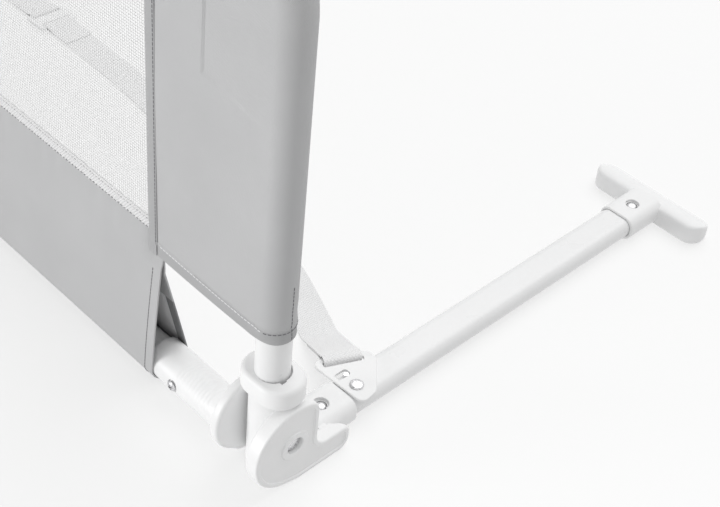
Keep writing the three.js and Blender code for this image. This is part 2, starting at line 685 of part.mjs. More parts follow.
// The plan place of a point at `s` along the strap and `aside` from its middle line.
function strapPlan(s, aside) {
  const radius = curveRadius();
  const onCurve = THREE.MathUtils.clamp(s - STRAP_RAMP, 0, radius * STRAP_TURN);
  const angle = STRAP_TURN - onCurve / radius;
  const outwards = new THREE.Vector2(Math.sin(angle), Math.cos(angle));
  const along = new THREE.Vector2(-outwards.y, outwards.x);
  const middle = curveCentre().addScaledVector(outwards, radius + aside);
  return middle.addScaledVector(along, s - STRAP_RAMP - onCurve);
}

// The middle line of the webbing: folded under the strap, up round the plate's bar, down to the bed
// base, along it, up round the slider's bar and back, where the end lies on the strap.
function strapLine() {
  const lift = FIT + STRAP_PLY / 2;
  const reach = BAR_WIDTH / 2 + lift;
  const barTop = PLATE_BOTTOM + PLATE_THICKNESS + lift;
  const slope = (barTop - lift) / (STRAP_RAMP - reach);
  const ramp = (s) => barTop - slope * (s - reach);
  const under = (s) => ramp(s) - (STRAP_PLY + FIT) * Math.hypot(1, slope);
  const curve = curveRadius() * STRAP_TURN;
  const sliderBar = STRAP_RAMP + curve + STRAP_SEWN;
  const sliderTop = 3 * lift + PLATE_THICKNESS;
  const over = lift + STRAP_PLY + FIT;
  const shares = Array.from({ length: STRAP_STEPS + 1 }, (_, i) => i / STRAP_STEPS);
  return [
    [STRAP_SEWN, under(STRAP_SEWN)],
    [STRAP_MERGE, under(STRAP_MERGE)],
    [reach, PLATE_BOTTOM - lift],
    [-reach, PLATE_BOTTOM - lift],
    [-reach, barTop],
    [reach, barTop],
    ...shares.map((share) => [STRAP_RAMP + curve * share, lift]),
    [sliderBar + reach, lift],
    [sliderBar + reach, sliderTop],
    [sliderBar - reach, sliderTop],
    [sliderBar - STRAP_MERGE, over],
    [sliderBar - STRAP_SEWN, over],
  ].map((point) => new THREE.Vector2(...point));
}

function strap() {
  const line = strapLine();
  const steps = line.slice(1).map((point, i) => point.clone().sub(line[i]).normalize());
  const corners = [[-1, -1], [1, -1], [1, 1], [-1, 1]];
  const positions = line.flatMap((point, i) => {
    const into = steps[Math.max(i - 1, 0)];
    const out = steps[Math.min(i, steps.length - 1)];
    const half = STRAP_PLY / 2 / (1 + into.dot(out));
    return corners.flatMap(([side, up]) => {
      const s = point.x - up * half * (into.y + out.y);
      const z = point.y + up * half * (into.x + out.x);
      return [...strapPlan(s, side * STRAP_WIDTH / 2), z];
    });
  });
  const last = 4 * line.length - 4;
  const index = [0, 1, 2, 0, 2, 3, last, last + 2, last + 1, last, last + 3, last + 2];
  for (let a = 0; a < last; a += 1) {
    const b = a % 4 === 3 ? a - 3 : a + 1;
    index.push(a, b + 4, b, a, a + 4, b + 4);
  }
  const geometry = new THREE.BufferGeometry();
  geometry.setAttribute('position', new THREE.Float32BufferAttribute(positions, 3));
  return geometry.setIndex(index);
}

function slider() {
  const bottom = 2 * FIT + STRAP_PLY;
  const length = SLIDER_BAR_PLACE + BAR_WIDTH / 2;
  const slotHalf = STRAP_WIDTH / 2 + SLOT_SPARE / 2;
  const width = slotHalf + SLIDER_RIM;
  const slotEnd = SLIDER_BAR_PLACE - BAR_WIDTH / 2;
  const slotStart = slotEnd - SLOT_WIDTH;
  const plate = alongZ(box(-length, -width, length, width, SLIDER_ROUND), bottom, bottom + PLATE_THICKNESS);
  const slot = box(slotStart, -slotHalf, slotEnd, slotHalf);
  const cut = alongZ(slot, bottom - OVERRUN, bottom + PLATE_THICKNESS + OVERRUN);
  const place = curveCentre().y + curveRadius();
  return joined([plate], [cut, mirrored(cut)]).translate(0, place, 0);
}

// Bottom rail

function bottomRail() {
  const half = POST_SPACING / 2 - CHEEK_OUTER_FACE - RAIL_SLEEVE_LENGTH + RAIL_INSERT;
  const screw = POST_SPACING / 2 + screwPlace();
  const outer = circle(RAIL_OFFSET, RAIL_HEIGHT, TUBE_RADIUS);
  const inner = circle(RAIL_OFFSET, RAIL_HEIGHT, TUBE_RADIUS - TUBE_WALL);
  const holes = [-screw, screw].map((x) => {
    const hole = circle(x, RAIL_HEIGHT, SCREW_RADIUS + FIT, PIN_SIDES);
    return alongY(hole, RAIL_OFFSET - RAIL_SLEEVE_RADIUS, RAIL_OFFSET);
  });
  return joined([alongX(outer, -half, half, [inner])], holes);
}

function topRail() {
  const half = POST_SPACING / 2 - CORNER_BEND - FIT;
  const inner = circle(0, TOP_AXIS, TUBE_RADIUS - TUBE_WALL);
  return alongX(circle(0, TOP_AXIS, TUBE_RADIUS), -half, half, [inner]);
}

// Cover

const COVER_HALF = POST_SPACING / 2 - SIDE_PANEL_WIDTH - FIT;

// Two plies round a tube of radius `radius` at (x, y), which meet at a seam.
function clothSleeve(x, y, radius, seamX, seamY) {
  const outer = sleeveOutline(new THREE.Vector2(seamX - x, seamY - y), radius);
  const inner = outer.map((point) => point.clone().multiplyScalar((radius - FABRIC) / radius));
  const centre = new THREE.Vector2(x, y);
  return [outer, inner].map((outline) => outline.map((point) => point.clone().add(centre)));
}

// The band is one pocket round the bottom rail. It is split where it bends when the frame folds.
function band() {
  const [outer, inner] = clothSleeve(RAIL_OFFSET, RAIL_HEIGHT, POCKET_RADIUS, -SLEEVE_OF_FABRIC, BAND_TOP);
  return alongX(outer, -COVER_HALF, COVER_HALF, [inner]);
}

function foldRound(radius) {
  return alongX(circle(0, HINGE_HEIGHT, radius, BARREL_SIDES), -COVER_HALF - OVERRUN, COVER_HALF + OVERRUN);
}

function sidePanel() {
  const front = -SLEEVE_OF_FABRIC;
  const overlap = BEND_START - OVERRUN / 2;
  const [outer, inner] = clothSleeve(0, 0, SLEEVE_OF_FABRIC, SEAM, front);
  const topEdge = TOP_SEAM_HEIGHT - FIT;
  const corner = [
    new THREE.Vector2(SEAM, overlap),
    new THREE.Vector2(0, overlap),
    ...arc(-CORNER_BEND + FIT, BEND_START, CORNER_BEND - FIT, 0, Math.PI / 2),
    new THREE.Vector2(-CORNER_BEND + FIT, topEdge),
    new THREE.Vector2(SEAM, topEdge),
  ];
  return joined([
    alongZ(outer, HEM_HEIGHT, BEND_START, [inner]),
    bentTube(SLEEVE_OF_FABRIC, SLEEVE_OF_FABRIC - FABRIC, OVERRUN / 2),
    alongY(corner, front, front + FABRIC),
  ], [alongX(box(front - OVERRUN, 0, -front + OVERRUN, OVERALL_HEIGHT + OVERRUN),
    -CORNER_BEND - OVERRUN, -CORNER_BEND + FIT).translate(0, 0, topEdge)]);
}

function topSleeve() {
  const half = POST_SPACING / 2 - CORNER_BEND;
  const [outer, inner] = clothSleeve(0, TOP_AXIS, SLEEVE_OF_FABRIC, -SLEEVE_OF_FABRIC, TOP_SEAM_HEIGHT);
  return alongX(outer, -half, half, [inner]);
}

function binding() {
  const front = -SLEEVE_OF_FABRIC;
  const section = box(front - BINDING_SWELL, BAND_TOP + FIT, front + FABRIC + BINDING_SWELL,
    BAND_TOP + FIT + BINDING_HEIGHT, BINDING_SWELL);
  return alongX(section, -COVER_HALF, COVER_HALF);
}

function meshWindow() {
  const bottom = BAND_TOP + BINDING_HEIGHT + 2 * FIT;
  const top = TOP_SEAM_HEIGHT - FIT;
  const across = (2 * COVER_HALF - NET_STRAND) / NET_COLUMNS;
  const up = (top - bottom - NET_STRAND) / NET_ROWS;
  const front = -SLEEVE_OF_FABRIC;
  const gaps = [];
  for (let column = 0; column < NET_COLUMNS; column += 1) {
    for (let row = 0; row < NET_ROWS; row += 1) {
      const x = -COVER_HALF + NET_STRAND + column * across;
      const z = bottom + NET_STRAND + row * up;
      const gap = box(x, z, x + across - NET_STRAND, z + up - NET_STRAND);
      gaps.push(alongY(gap, front - OVERRUN, front + FABRIC + OVERRUN));
    }
  }
  const sheet = alongY(box(-COVER_HALF, bottom, COVER_HALF, top), front, front + FABRIC);
  return joined([sheet], [mergeGeometries(gaps)]);
}

// Assembly

const guardRail = new THREE.Group();
const right = new THREE.Group();
const left = new THREE.Group();
const middle = new THREE.Group();
right.position.set(POST_SPACING / 2, HINGE_Y, 0);
left.position.set(-POST_SPACING / 2, HINGE_Y, 0);
middle.position.set(0, HINGE_Y, 0);
guardRail.add(right, left, middle);

function add(group, name, geometry, finish) {
  const mesh = new THREE.Mesh(geometry, new THREE.MeshStandardMaterial(finish));
  mesh.name = name;
  group.add(mesh);
}

function addPair(name, geometry, finish) {
  add(right, `${name}_right`, geometry, finish);
  add(left, `${name}_left`, mirrored(geometry), finish);
}

addPair('hinge_base', hingeBase(), PLASTIC);
addPair('pivot_pin', pivotPin(), STEEL);
addPair('pivot_clip', pivotClip(), STEEL);
addPair('rail_screw', railScrew(), STEEL);
addPair('arm_tube', armTube(), POWDER_COAT);
addPair('arm_foot', armFoot(), PLASTIC);
addPair('base_button', snapButton(BASE_BUTTON_PLACE), STEEL);
addPair('foot_button', snapButton(FOOT_BUTTON_PLACE), STEEL);
addPair('base_button_spring', buttonSpring(BASE_BUTTON_PLACE, 1), STEEL);
addPair('foot_button_spring', buttonSpring(FOOT_BUTTON_PLACE, -1), STEEL);
addPair('strap_plate', strapPlate(), PLASTIC);
addPair('strap_rivet', strapRivet(), STEEL);
addPair('strap_stud', strapStud(), STEEL);
addPair('strap', strap(), WEBBING);
addPair('post_socket', postSocket(), PLASTIC);
addPair('post_tube', postTube(), POWDER_COAT);
addPair('cross_pin', crossPin(), STEEL);
addPair('corner_tube', cornerTube(), POWDER_COAT);
addPair('side_panel', sidePanel(), GREY_FABRIC);

add(middle, 'strap_slider', slider(), PLASTIC);
add(middle, 'bottom_rail', bottomRail(), POWDER_COAT);
add(middle, 'top_rail', topRail(), POWDER_COAT);
add(middle, 'rail_pocket', common(band(), foldRound(SPLIT_RADIUS)), GREY_FABRIC);
add(middle, 'band_skirt', joined([band()], [foldRound(SPLIT_RADIUS + FIT)]), GREY_FABRIC);
add(middle, 'binding_strip', binding(), WEBBING);
add(middle, 'mesh_window', meshWindow(), WHITE_NET);
add(middle, 'top_sleeve', topSleeve(), GREY_FABRIC);

export default guardRail;
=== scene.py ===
# %% [markdown]
# # A folding bed guard rail
# This rail stands at the side of a bed. Two flat arms lie under the mattress, a steel frame stands up from
# them in two hinges, and a cloth cover with a mesh window is drawn over the frame.
# The hard parts come from an exact model. Here each one gets its fine surface, and the cloth is sewn round
# it.

# %% Load the exact model
import json
import math
import bpy
from mathutils import Matrix, Vector


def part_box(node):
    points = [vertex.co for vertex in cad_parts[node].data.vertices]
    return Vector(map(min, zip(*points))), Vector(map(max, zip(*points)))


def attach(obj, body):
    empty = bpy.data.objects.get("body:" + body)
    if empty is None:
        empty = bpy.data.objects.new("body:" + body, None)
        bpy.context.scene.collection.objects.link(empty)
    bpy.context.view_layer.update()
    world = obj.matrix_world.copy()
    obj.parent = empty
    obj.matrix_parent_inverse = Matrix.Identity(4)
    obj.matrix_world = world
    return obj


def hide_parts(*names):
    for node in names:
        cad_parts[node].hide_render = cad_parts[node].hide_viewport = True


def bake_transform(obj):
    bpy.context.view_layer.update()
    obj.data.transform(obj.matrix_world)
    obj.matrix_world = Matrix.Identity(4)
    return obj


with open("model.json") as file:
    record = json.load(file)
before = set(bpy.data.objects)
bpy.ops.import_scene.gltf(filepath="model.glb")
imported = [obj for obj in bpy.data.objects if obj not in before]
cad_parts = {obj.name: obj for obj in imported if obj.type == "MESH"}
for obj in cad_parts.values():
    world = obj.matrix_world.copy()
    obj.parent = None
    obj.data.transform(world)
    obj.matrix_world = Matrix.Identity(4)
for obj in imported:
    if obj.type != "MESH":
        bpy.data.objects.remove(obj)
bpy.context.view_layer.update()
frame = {"nodes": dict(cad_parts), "record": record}
bpy.ops.object.select_all(action="DESELECT")
nodes = frame["nodes"]

# %% [markdown]
# ## Camera
# The camera comes first, because it decides how fine each piece has to be. Its place and turn were solved
# from the straight edges of the arm, the post and the rail, so it needs no aiming.

# %% Camera
camera_data = bpy.data.cameras.new("camera")
camera_data.lens = 69.83
camera_data.sensor_width = 36
camera = bpy.data.objects.new("camera", camera_data)
camera.location = (1.04757, -0.67193, 0.7705)
camera.rotation_euler = [math.radians(angle) for angle in (48.9702, -4.8084, 46.0582)]
scene = bpy.context.scene
scene.collection.objects.link(camera)
scene.camera = camera
scene.view_settings.view_transform = "Standard"
print("camera at", tuple(camera.location))

# %% [markdown]
# ## Helpers for shaders
# Every finish is a Principled BSDF with a few nodes in front of it. Small functions keep that short: one adds
# a node and links or sets its inputs, and the others use it for a sum, a range, a tint and a bump.

# %% Node helpers
def set_inputs(tree, node, inputs):
    for key, value in inputs.items():
        if isinstance(value, bpy.types.NodeSocket):
            tree.links.new(value, node.inputs[key])
        else:
            node.inputs[key].default_value = value


def add_node(tree, kind, inputs, **settings):
    made = tree.nodes.new(kind)
    for key, value in settings.items():
        setattr(made, key, value)
    set_inputs(tree, made, inputs)
    return made


def add_sum(tree, operation, first, second=0.0):
    return add_node(tree, "ShaderNodeMath", {0: first, 1: second}, operation=operation).outputs[0]


def add_range(tree, value, low, high, to_low, to_high):
    return add_node(tree, "ShaderNodeMapRange", {"Value": value, "From Min": low, "From Max": high,
                                                 "To Min": to_low, "To Max": to_high}).outputs["Result"]


def add_tint(tree, factor, first, second):
    mix = add_node(tree, "ShaderNodeMix", {0: factor, 6: (*first, 1), 7: (*second, 1)}, data_type="RGBA")
    return mix.outputs[2]


def add_bump(tree, height, distance, normal=None):
    inputs = {"Height": height, "Distance": distance}
    if normal:
        inputs["Normal"] = normal
    return add_node(tree, "ShaderNodeBump", inputs).outputs["Normal"]


print("shader helpers ready")

# %% [markdown]
# ## Light and floor
# The rail is shown on white, in light from all sides. A plain world gives most of it. A lamp from the front
# and the left makes the front of the cloth lighter than its end, and a wide lamp overhead lays a soft shadow
# beside each arm. The floor is a pale sheet that hides only a good third of the white behind it, so that the
# shadows stay as light as on a studio table.

# %% World, lamps and floor
PLAIN_LEVEL = 0.57
FRONT_LAMP, FRONT_SOFTNESS = 1.55, 24
OVERHEAD_LAMP, OVERHEAD_SOFTNESS = 1.2, 60
FLOOR_SIZE = 9
FLOOR_COVER = 0.38
FLOOR_GAP = 0.0004
world = bpy.data.worlds.new("studio")
scene.world = world
world.use_nodes = True
air = world.node_tree
path = add_node(air, "ShaderNodeLightPath", {})
seen = add_sum(air, "MAXIMUM", path.outputs["Is Camera Ray"], path.outputs["Is Glossy Ray"])
seen = add_sum(air, "MAXIMUM", seen, path.outputs["Is Transmission Ray"])
backdrop = air.nodes["Background"]
backdrop.inputs["Color"].default_value = (1, 1, 1, 1)
air.links.new(add_range(air, seen, 0, 1, PLAIN_LEVEL, 1), backdrop.inputs["Strength"])


def add_sun(name, towards, strength, softness):
    data = bpy.data.lights.new(name, "SUN")
    data.energy = strength
    data.angle = math.radians(softness)
    lamp = bpy.data.objects.new(name, data)
    lamp.rotation_euler = Vector(towards).to_track_quat("Z", "Y").to_euler()
    scene.collection.objects.link(lamp)


add_sun("front_lamp", (-0.5, -1, 0.06), FRONT_LAMP, FRONT_SOFTNESS)
add_sun("overhead_lamp", (-0.12, 0.45, 1), OVERHEAD_LAMP, OVERHEAD_SOFTNESS)

bpy.ops.mesh.primitive_plane_add(size=FLOOR_SIZE, location=(0, 0, -FLOOR_GAP))
floor = bpy.context.object
floor.name = "floor"
floor_finish = bpy.data.materials.new("pale_floor")
floor_finish.use_nodes = True
ground = floor_finish.node_tree
ground.nodes.clear()
clear = add_node(ground, "ShaderNodeBsdfTransparent", {})
matt = add_node(ground, "ShaderNodeBsdfDiffuse", {"Color": (0.97, 0.97, 0.97, 1)})
mixed = add_node(ground, "ShaderNodeMixShader", {0: FLOOR_COVER, 1: clear.outputs[0], 2: matt.outputs[0]})
add_node(ground, "ShaderNodeOutputMaterial", {"Surface": mixed.outputs[0]})
floor.data.materials.append(floor_finish)

# %% [markdown]
# ## Shared effects
# Three effects serve all the finishes. The lattice is the up and down of crossing threads: it makes the plain
# weave, the dots of the webbing, the knit of the binding and, past a threshold, the holes of the mesh. The
# mottle is the slow unevenness that no real surface is without. The grain is the fine skin of moulded plastic
# and of powder paint. Each is a node group with its sizes as inputs, so one effect serves many scales.

# %% Node groups
PLACE_AND_SCALE = [("Vector", "Vector"), ("Scale", "Float")]


def new_group(name, inputs, outputs):
    group = bpy.data.node_groups.new(name, "ShaderNodeTree")
    for socket, kind in inputs:
        group.interface.new_socket(socket, in_out="INPUT", socket_type=f"NodeSocket{kind}")
    for socket, kind in outputs:
        group.interface.new_socket(socket, in_out="OUTPUT", socket_type=f"NodeSocket{kind}")
    return group, group.nodes.new("NodeGroupInput").outputs, group.nodes.new("NodeGroupOutput").inputs


def build_lattice():
    inputs = [("Vector", "Vector"), ("Across", "Float"), ("Along", "Float")]
    group, given, result = new_group("thread_lattice", inputs, [("Crossing", "Float"), ("Rows", "Float")])
    parts = add_node(group, "ShaderNodeSeparateXYZ", {0: given["Vector"]}).outputs
    waves = []
    for part, pitch in ((parts[0], given["Across"]), (parts[1], given["Along"])):
        turns = add_sum(group, "DIVIDE", part, pitch)
        waves.append(add_sum(group, "COSINE", add_sum(group, "MULTIPLY", turns, 2 * math.pi)))
    group.links.new(add_sum(group, "MULTIPLY", *waves), result["Crossing"])
    group.links.new(waves[0], result["Rows"])
    return group


def build_mottle():
    group, given, result = new_group("slow_mottle", PLACE_AND_SCALE, [("Value", "Float")])
    place = dict(Vector=given["Vector"], Scale=given["Scale"])
    noise = add_node(group, "ShaderNodeTexNoise", dict(place, Detail=3.0))
    group.links.new(add_range(group, noise.outputs["Fac"], 0.3, 0.7, 0, 1), result["Value"])
    return group


def build_grain():
    group, given, result = new_group("fine_grain", PLACE_AND_SCALE, [("Height", "Float")])
    place = dict(Vector=given["Vector"], Scale=given["Scale"])
    noise = add_node(group, "ShaderNodeTexNoise", dict(place, Detail=2.0, Roughness=0.6))
    cells = add_node(group, "ShaderNodeTexVoronoi", place)
    group.links.new(add_sum(group, "ADD", noise.outputs["Fac"], cells.outputs["Distance"]), result["Height"])
    return group


lattice, mottle, grain = build_lattice(), build_mottle(), build_grain()
print("node groups", [group.name for group in bpy.data.node_groups])

# %% [markdown]
# ## Finishes
# Each finish starts as a Principled BSDF whose plain values sit on its own sockets. Plastic and paint read
# the object's own coordinates. Cloth reads its UV map, which is laid out in metres on the flat cloth, so the
# threads follow every fold.

# %% Finish helpers
def new_finish(name, roughness, **plain):
    finish = bpy.data.materials.new(name)
    finish.use_nodes = True
    tree = finish.node_tree
    shader = tree.nodes["Principled BSDF"]
    shader.inputs["Roughness"].default_value = roughness
    for socket, value in plain.items():
        shader.inputs[socket.replace("_", " ")].default_value = value
    return finish, tree, shader.inputs


def place_group(tree, group, **inputs):
    placed = tree.nodes.new("ShaderNodeGroup")
    placed.node_tree = group
    set_inputs(tree, placed, inputs)
    return placed.outputs


def own_place(tree):
    return add_node(tree, "ShaderNodeTexCoord", {}).outputs["Object"]


def cloth_place(tree):
    return add_node(tree, "ShaderNodeUVMap", {}, uv_map="cloth").outputs["UV"]


print("finish helpers ready")

# %% Hard finishes: moulded plastic, powder paint and bright steel
def hard_finish(name, roughness, patches, dark, light, gloss, skin, rise, **plain):
    """Uneven in colour and gloss. skin scales its fine grain. Without it the unevenness is the relief."""
    finish, tree, shader = new_finish(name, roughness, **plain)
    place = own_place(tree)
    uneven = place_group(tree, mottle, Vector=place, Scale=patches)["Value"]
    tree.links.new(add_tint(tree, uneven, dark, light), shader["Base Color"])
    tree.links.new(add_range(tree, uneven, 0, 1, *gloss), shader["Roughness"])
    relief = place_group(tree, grain, Vector=place, Scale=skin)["Height"] if skin else uneven
    tree.links.new(add_bump(tree, relief, rise), shader["Normal"])
    return finish


plastic = hard_finish("moulded_plastic", 0.42, 45, (0.905, 0.907, 0.908), (0.935, 0.937, 0.938),
                      (0.36, 0.47), 1500, 0.00004)
paint = hard_finish("powder_paint", 0.3, 30, (0.88, 0.882, 0.884), (0.905, 0.907, 0.909),
                    (0.26, 0.34), 420, 0.00006)
steel = hard_finish("bright_steel", 0.22, 700, (0.5, 0.5, 0.51), (0.8, 0.8, 0.81),
                    (0.16, 0.34), None, 0.00004, Metallic=1.0)
print("hard finishes", plastic.name, paint.name, steel.name)

# %% Woven finishes: grey cloth, its darker binding, a dark hem with painted shade, a side with painted light, webbing, knit and thread
def woven(name, dark, light, across, along, rise, roughness=0.8, bumps="Crossing", patches=14):
    finish, tree, shader = new_finish(name, roughness, Sheen_Weight=0.12, Sheen_Roughness=0.5)
    place = cloth_place(tree)
    threads = place_group(tree, lattice, Vector=place, Across=across, Along=along)[bumps]
    uneven = place_group(tree, mottle, Vector=place, Scale=patches)["Value"]
    weight = add_sum(tree, "MULTIPLY_ADD", threads, 0.2)
    weight.node.inputs[2].default_value = 0.5
    blend = add_sum(tree, "ADD", weight, add_range(tree, uneven, 0, 1, -0.25, 0.25))
    tree.links.new(add_tint(tree, blend, dark, light), shader["Base Color"])
    tree.links.new(add_bump(tree, threads, rise), shader["Normal"])
    return finish


grey_cloth = woven("grey_cloth", (0.505, 0.507, 0.512), (0.565, 0.567, 0.572), 0.0009, 0.0009, 0.00008)
grey_edge = woven("grey_edge_binding", (0.43, 0.432, 0.437), (0.5, 0.502, 0.507), 0.0008, 0.0008, 0.0001)
# A darker copy of the cloth for the back ply's hem: partly its own darker cloth, partly painted shade inside
# the pocket, where the thicker hem lets less light through.
dark_hem_and_shade = woven("dark_hem_painted_shade", (0.22, 0.222, 0.227), (0.29, 0.292, 0.297), 0.0008, 0.0008, 0.0001)
# A pale copy of the cloth: painted light on the inner side of the band's back ply, as if lit through the thin
# cloth.
painted_light_side = woven("pale_inner_side", (0.88, 0.88, 0.885), (0.95, 0.95, 0.955), 0.0009, 0.0009, 0.00006)
webbing = woven("white_webbing", (0.89, 0.89, 0.895), (0.99, 0.99, 0.99), 0.0028, 0.0026, 0.00025)
knit = woven("white_knit", (0.86, 0.86, 0.865), (0.99, 0.99, 0.99), 0.0026, 0.0034, 0.0005)


def thread_finish(name, colour):
    finish, tree, shader = new_finish(name, 0.7, Sheen_Weight=0.2)
    twist = place_group(tree, grain, Vector=own_place(tree), Scale=2600)["Height"]
    tree.links.new(add_tint(tree, twist, [0.75 * c for c in colour], colour), shader["Base Color"])
    tree.links.new(add_bump(tree, twist, 0.0001), shader["Normal"])
    return finish


dark_thread = thread_finish("dark_thread", (0.16, 0.16, 0.17))
grey_thread = thread_finish("grey_thread", (0.4, 0.4, 0.41))
pale_thread = thread_finish("pale_thread", (0.92, 0.92, 0.93))
print("woven finishes", grey_cloth.name, grey_edge.name, webbing.name, knit.name)

# %% Mesh of the window: the lattice, cut to holes by Alpha
def window_net():
    finish, tree, shader = new_finish("white_net", 0.8, Sheen_Weight=0.1)
    place = cloth_place(tree)
    crossing = place_group(tree, lattice, Vector=place, Across=0.0046, Along=0.0046)["Crossing"]
    distance = add_sum(tree, "ABSOLUTE", crossing)
    thread = add_range(tree, distance, 0.13, 0.25, 1, 0)
    tree.links.new(add_tint(tree, thread, (0.93, 0.93, 0.93), (0.98, 0.98, 0.98)), shader["Base Color"])
    tree.links.new(thread, shader["Alpha"])
    tree.links.new(add_bump(tree, thread, 0.0003), shader["Normal"])
    return finish


net = window_net()
print("net", net.name)

# %% [markdown]
# ## Where things are
# All places are measured from the foot of a post, in millimetres: u points away from the middle of the rail,
# v points into the bed and z up. A right-hand piece is made there, moved to its post, and copied mirrored to
# the other end.

# %% Places and finishing helpers
MM = 0.001
post_low, post_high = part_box("post_tube_right")
POST = Vector(((post_low.x + post_high.x) / 2, (post_low.y + post_high.y) / 2, 0))
RAIL_END = POST.x / MM


def activate(obj):
    bpy.ops.object.select_all(action="DESELECT")
    obj.select_set(True)
    bpy.context.view_layer.objects.active = obj


def apply_modifier(obj, kind, **settings):
    activate(obj)
    modifier = obj.modifiers.new(kind.lower(), kind)
    for key, value in settings.items():
        setattr(modifier, key, value)
    bpy.ops.object.modifier_apply(modifier=modifier.name)
    return obj


def edit_mesh(obj, *steps):
    """Runs mesh operators on the whole of a piece, each given with its settings."""
    activate(obj)
    bpy.ops.object.mode_set(mode="EDIT")
    for operator, settings in steps:
        bpy.ops.mesh.select_all(action="SELECT")
        operator(**settings)
    bpy.ops.object.mode_set(mode="OBJECT")


OUTWARDS = (bpy.ops.mesh.normals_make_consistent, {"inside": False})


def merged(distance):
    return bpy.ops.mesh.remove_doubles, {"threshold": distance}


SMOOTH_ANGLE = 35
PLASTIC_ANGLE = 32
FOOT_ANGLE = 40
CLOTH_ANGLE = 50


def smooth(obj, angle=SMOOTH_ANGLE):
    activate(obj)
    bpy.ops.object.shade_smooth_by_angle(angle=math.radians(angle))


def to_row(obj, centre):
    """From millimetres beside a post, or beside the middle, to metres in the row frame."""
    obj.data.transform(Matrix.Translation(centre) @ Matrix.Scale(MM, 4))
    return obj


def mirrored_copy(obj, name):
    copy = obj.copy()
    copy.data = obj.data.copy()
    copy.name = name
    scene.collection.objects.link(copy)
    copy.data.transform(Matrix.Scale(-1, 4, (1, 0, 0)))
    copy.data.flip_normals()
    return copy


HARD_SLOTS = ("moulded_plastic", "powder_coated_tube", "bright_steel")


def pair(obj, name, finish, slot, body="root", replaced=None):
    """Moves a right-hand piece to its post with its finish, copies it to the other end and gives both their
    body.
    """
    to_row(obj, POST)
    obj.data.materials.append(finish)
    obj.name = f"right_{name}"
    both = {"right": obj, "left": mirrored_copy(obj, f"left_{name}")}
    for side, piece in both.items():
        if slot in HARD_SLOTS:
            apply_modifier(piece, "WEIGHTED_NORMAL", keep_sharp=True)
        if replaced:
            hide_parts(f"{replaced}_{side}")
        if body:
            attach(piece, body.replace("SIDE", side))
    return both


def hard_pair(obj, name, finish, slot, body="root", angle=SMOOTH_ANGLE):
    """A pair of smooth pieces that stand for the exact model's parts of the same name."""
    smooth(obj, angle)
    return pair(obj, name, finish, slot, body, name)


MIDDLE = Vector((0, POST.y, 0))


def in_middle(obj, name, finish, slot, *replaced):
    """Moves a piece drawn about the middle of the rail to its place, and gives it its name and finish."""
    to_row(obj, MIDDLE)
    obj.data.materials.append(finish)
    obj.name = name
    if replaced:
        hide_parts(*replaced)
    return obj


print("right post at", tuple(round(c, 4) for c in POST))

# %% [markdown]
# ## Cutting cloth
# Every cloth piece starts as a grid: rows of points where the cloth lies, and for each point its place on the
# flat cloth. The grid becomes a mesh with a UV map in metres, and Solidify gives it the thickness of the
# cloth. Stitches are short threads, laid one after another along a line on the cloth.

# %% Cloth helpers
CLOTH = 1.2


def new_mesh(name, points, faces):
    mesh = bpy.data.meshes.new(name)
    mesh.from_pydata([tuple(point) for point in points], [], faces)
    mesh.update()
    obj = bpy.data.objects.new(name, mesh)
    scene.collection.objects.link(obj)
    return obj


def cloth_grid(name, steps, draw_row):
    """draw_row gives the points of one row and their places on the flat cloth, both in millimetres."""
    rows, flat_rows = zip(*[draw_row(step) for step in steps])
    across = len(rows[0])
    points = [point for row in rows for point in row]
    faces = []
    for i in range(len(rows) - 1):
        for j in range(across - 1):
            a, b = i * across + j, (i + 1) * across + j
            faces.append((a, a + 1, b + 1, b))
    obj = new_mesh(name, points, faces)
    layer = obj.data.uv_layers.new(name="cloth")
    flat = [place for places in flat_rows for place in places]
    for loop in obj.data.loops:
        layer.data[loop.index].uv = [MM * c for c in flat[loop.vertex_index]]
    return obj


def walk(points):
    """How far along a line of points each point is."""
    far = [0.0]
    for before, after in zip(points, points[1:]):
        far.append(far[-1] + (Vector(after) - Vector(before)).length)
    return far


def spread(start, end, count):
    return [start + (end - start) * i / (count - 1) for i in range(count)]


def ease(value):
    value = min(max(value, 0), 1)
    return value * value * (3 - 2 * value)


def stitch_row(name, line, outwards, stride=3.3, length=2.4, width=0.6, rise=0.35):
    """Short threads along a line on the cloth. outwards holds the cloth's normal at each of its points."""
    far = walk(line)
    points, faces = [], []
    at = stride / 2
    while at < far[-1]:
        i = next(k for k in range(1, len(far)) if far[k] >= at)
        share = (at - far[i - 1]) / max(far[i] - far[i - 1], 1e-6)
        middle = Vector(line[i - 1]).lerp(Vector(line[i]), share)
        along = (Vector(line[i]) - Vector(line[i - 1])).normalized()
        up = Vector(outwards[i]).normalized()
        aside = along.cross(up)
        first = len(points)
        for level, reach, half in ((-0.15, 0.5, 0.5), (rise * 0.7, 0.46, 0.42), (rise, 0.3, 0.2)):
            points += [middle + up * level + along * length * reach * a + aside * width * half * b
                       for a, b in ((-1, -1), (1, -1), (1, 1), (-1, 1))]
        faces += [[first + k for k in (0, 1, 2, 3)], [first + k for k in (8, 9, 10, 11)]]
        for low in (first, first + 4):
            faces += [[low + k, low + (k + 1) % 4, low + 4 + (k + 1) % 4, low + 4 + k] for k in range(4)]
        at += stride
    obj = new_mesh(name, points, faces)
    edit_mesh(obj, OUTWARDS)
    return obj


def sewn_sheet(obj, thickness=CLOTH):
    """Gives a cloth grid its thickness, and smooth faces that point outwards."""
    apply_modifier(obj, "SOLIDIFY", thickness=thickness, offset=0, use_quality_normals=True)
    edit_mesh(obj, OUTWARDS)
    smooth(obj, CLOTH_ANGLE)
    return obj


print("cloth helpers ready")

# %% [markdown]
# ## Side panels
# At each end the cover is a flat sleeve. Its front ply lies in one plane from the seam of the window to the
# post, turns round the post, and comes back as a second ply to the same seam. At the top the sleeve turns the
# corner with the tube. Each row of the grid is one turn round the tube: seam, front ply, round the tube, back
# ply, seam. The rows move along the tube, and round the corner they all start from the corner of the window.

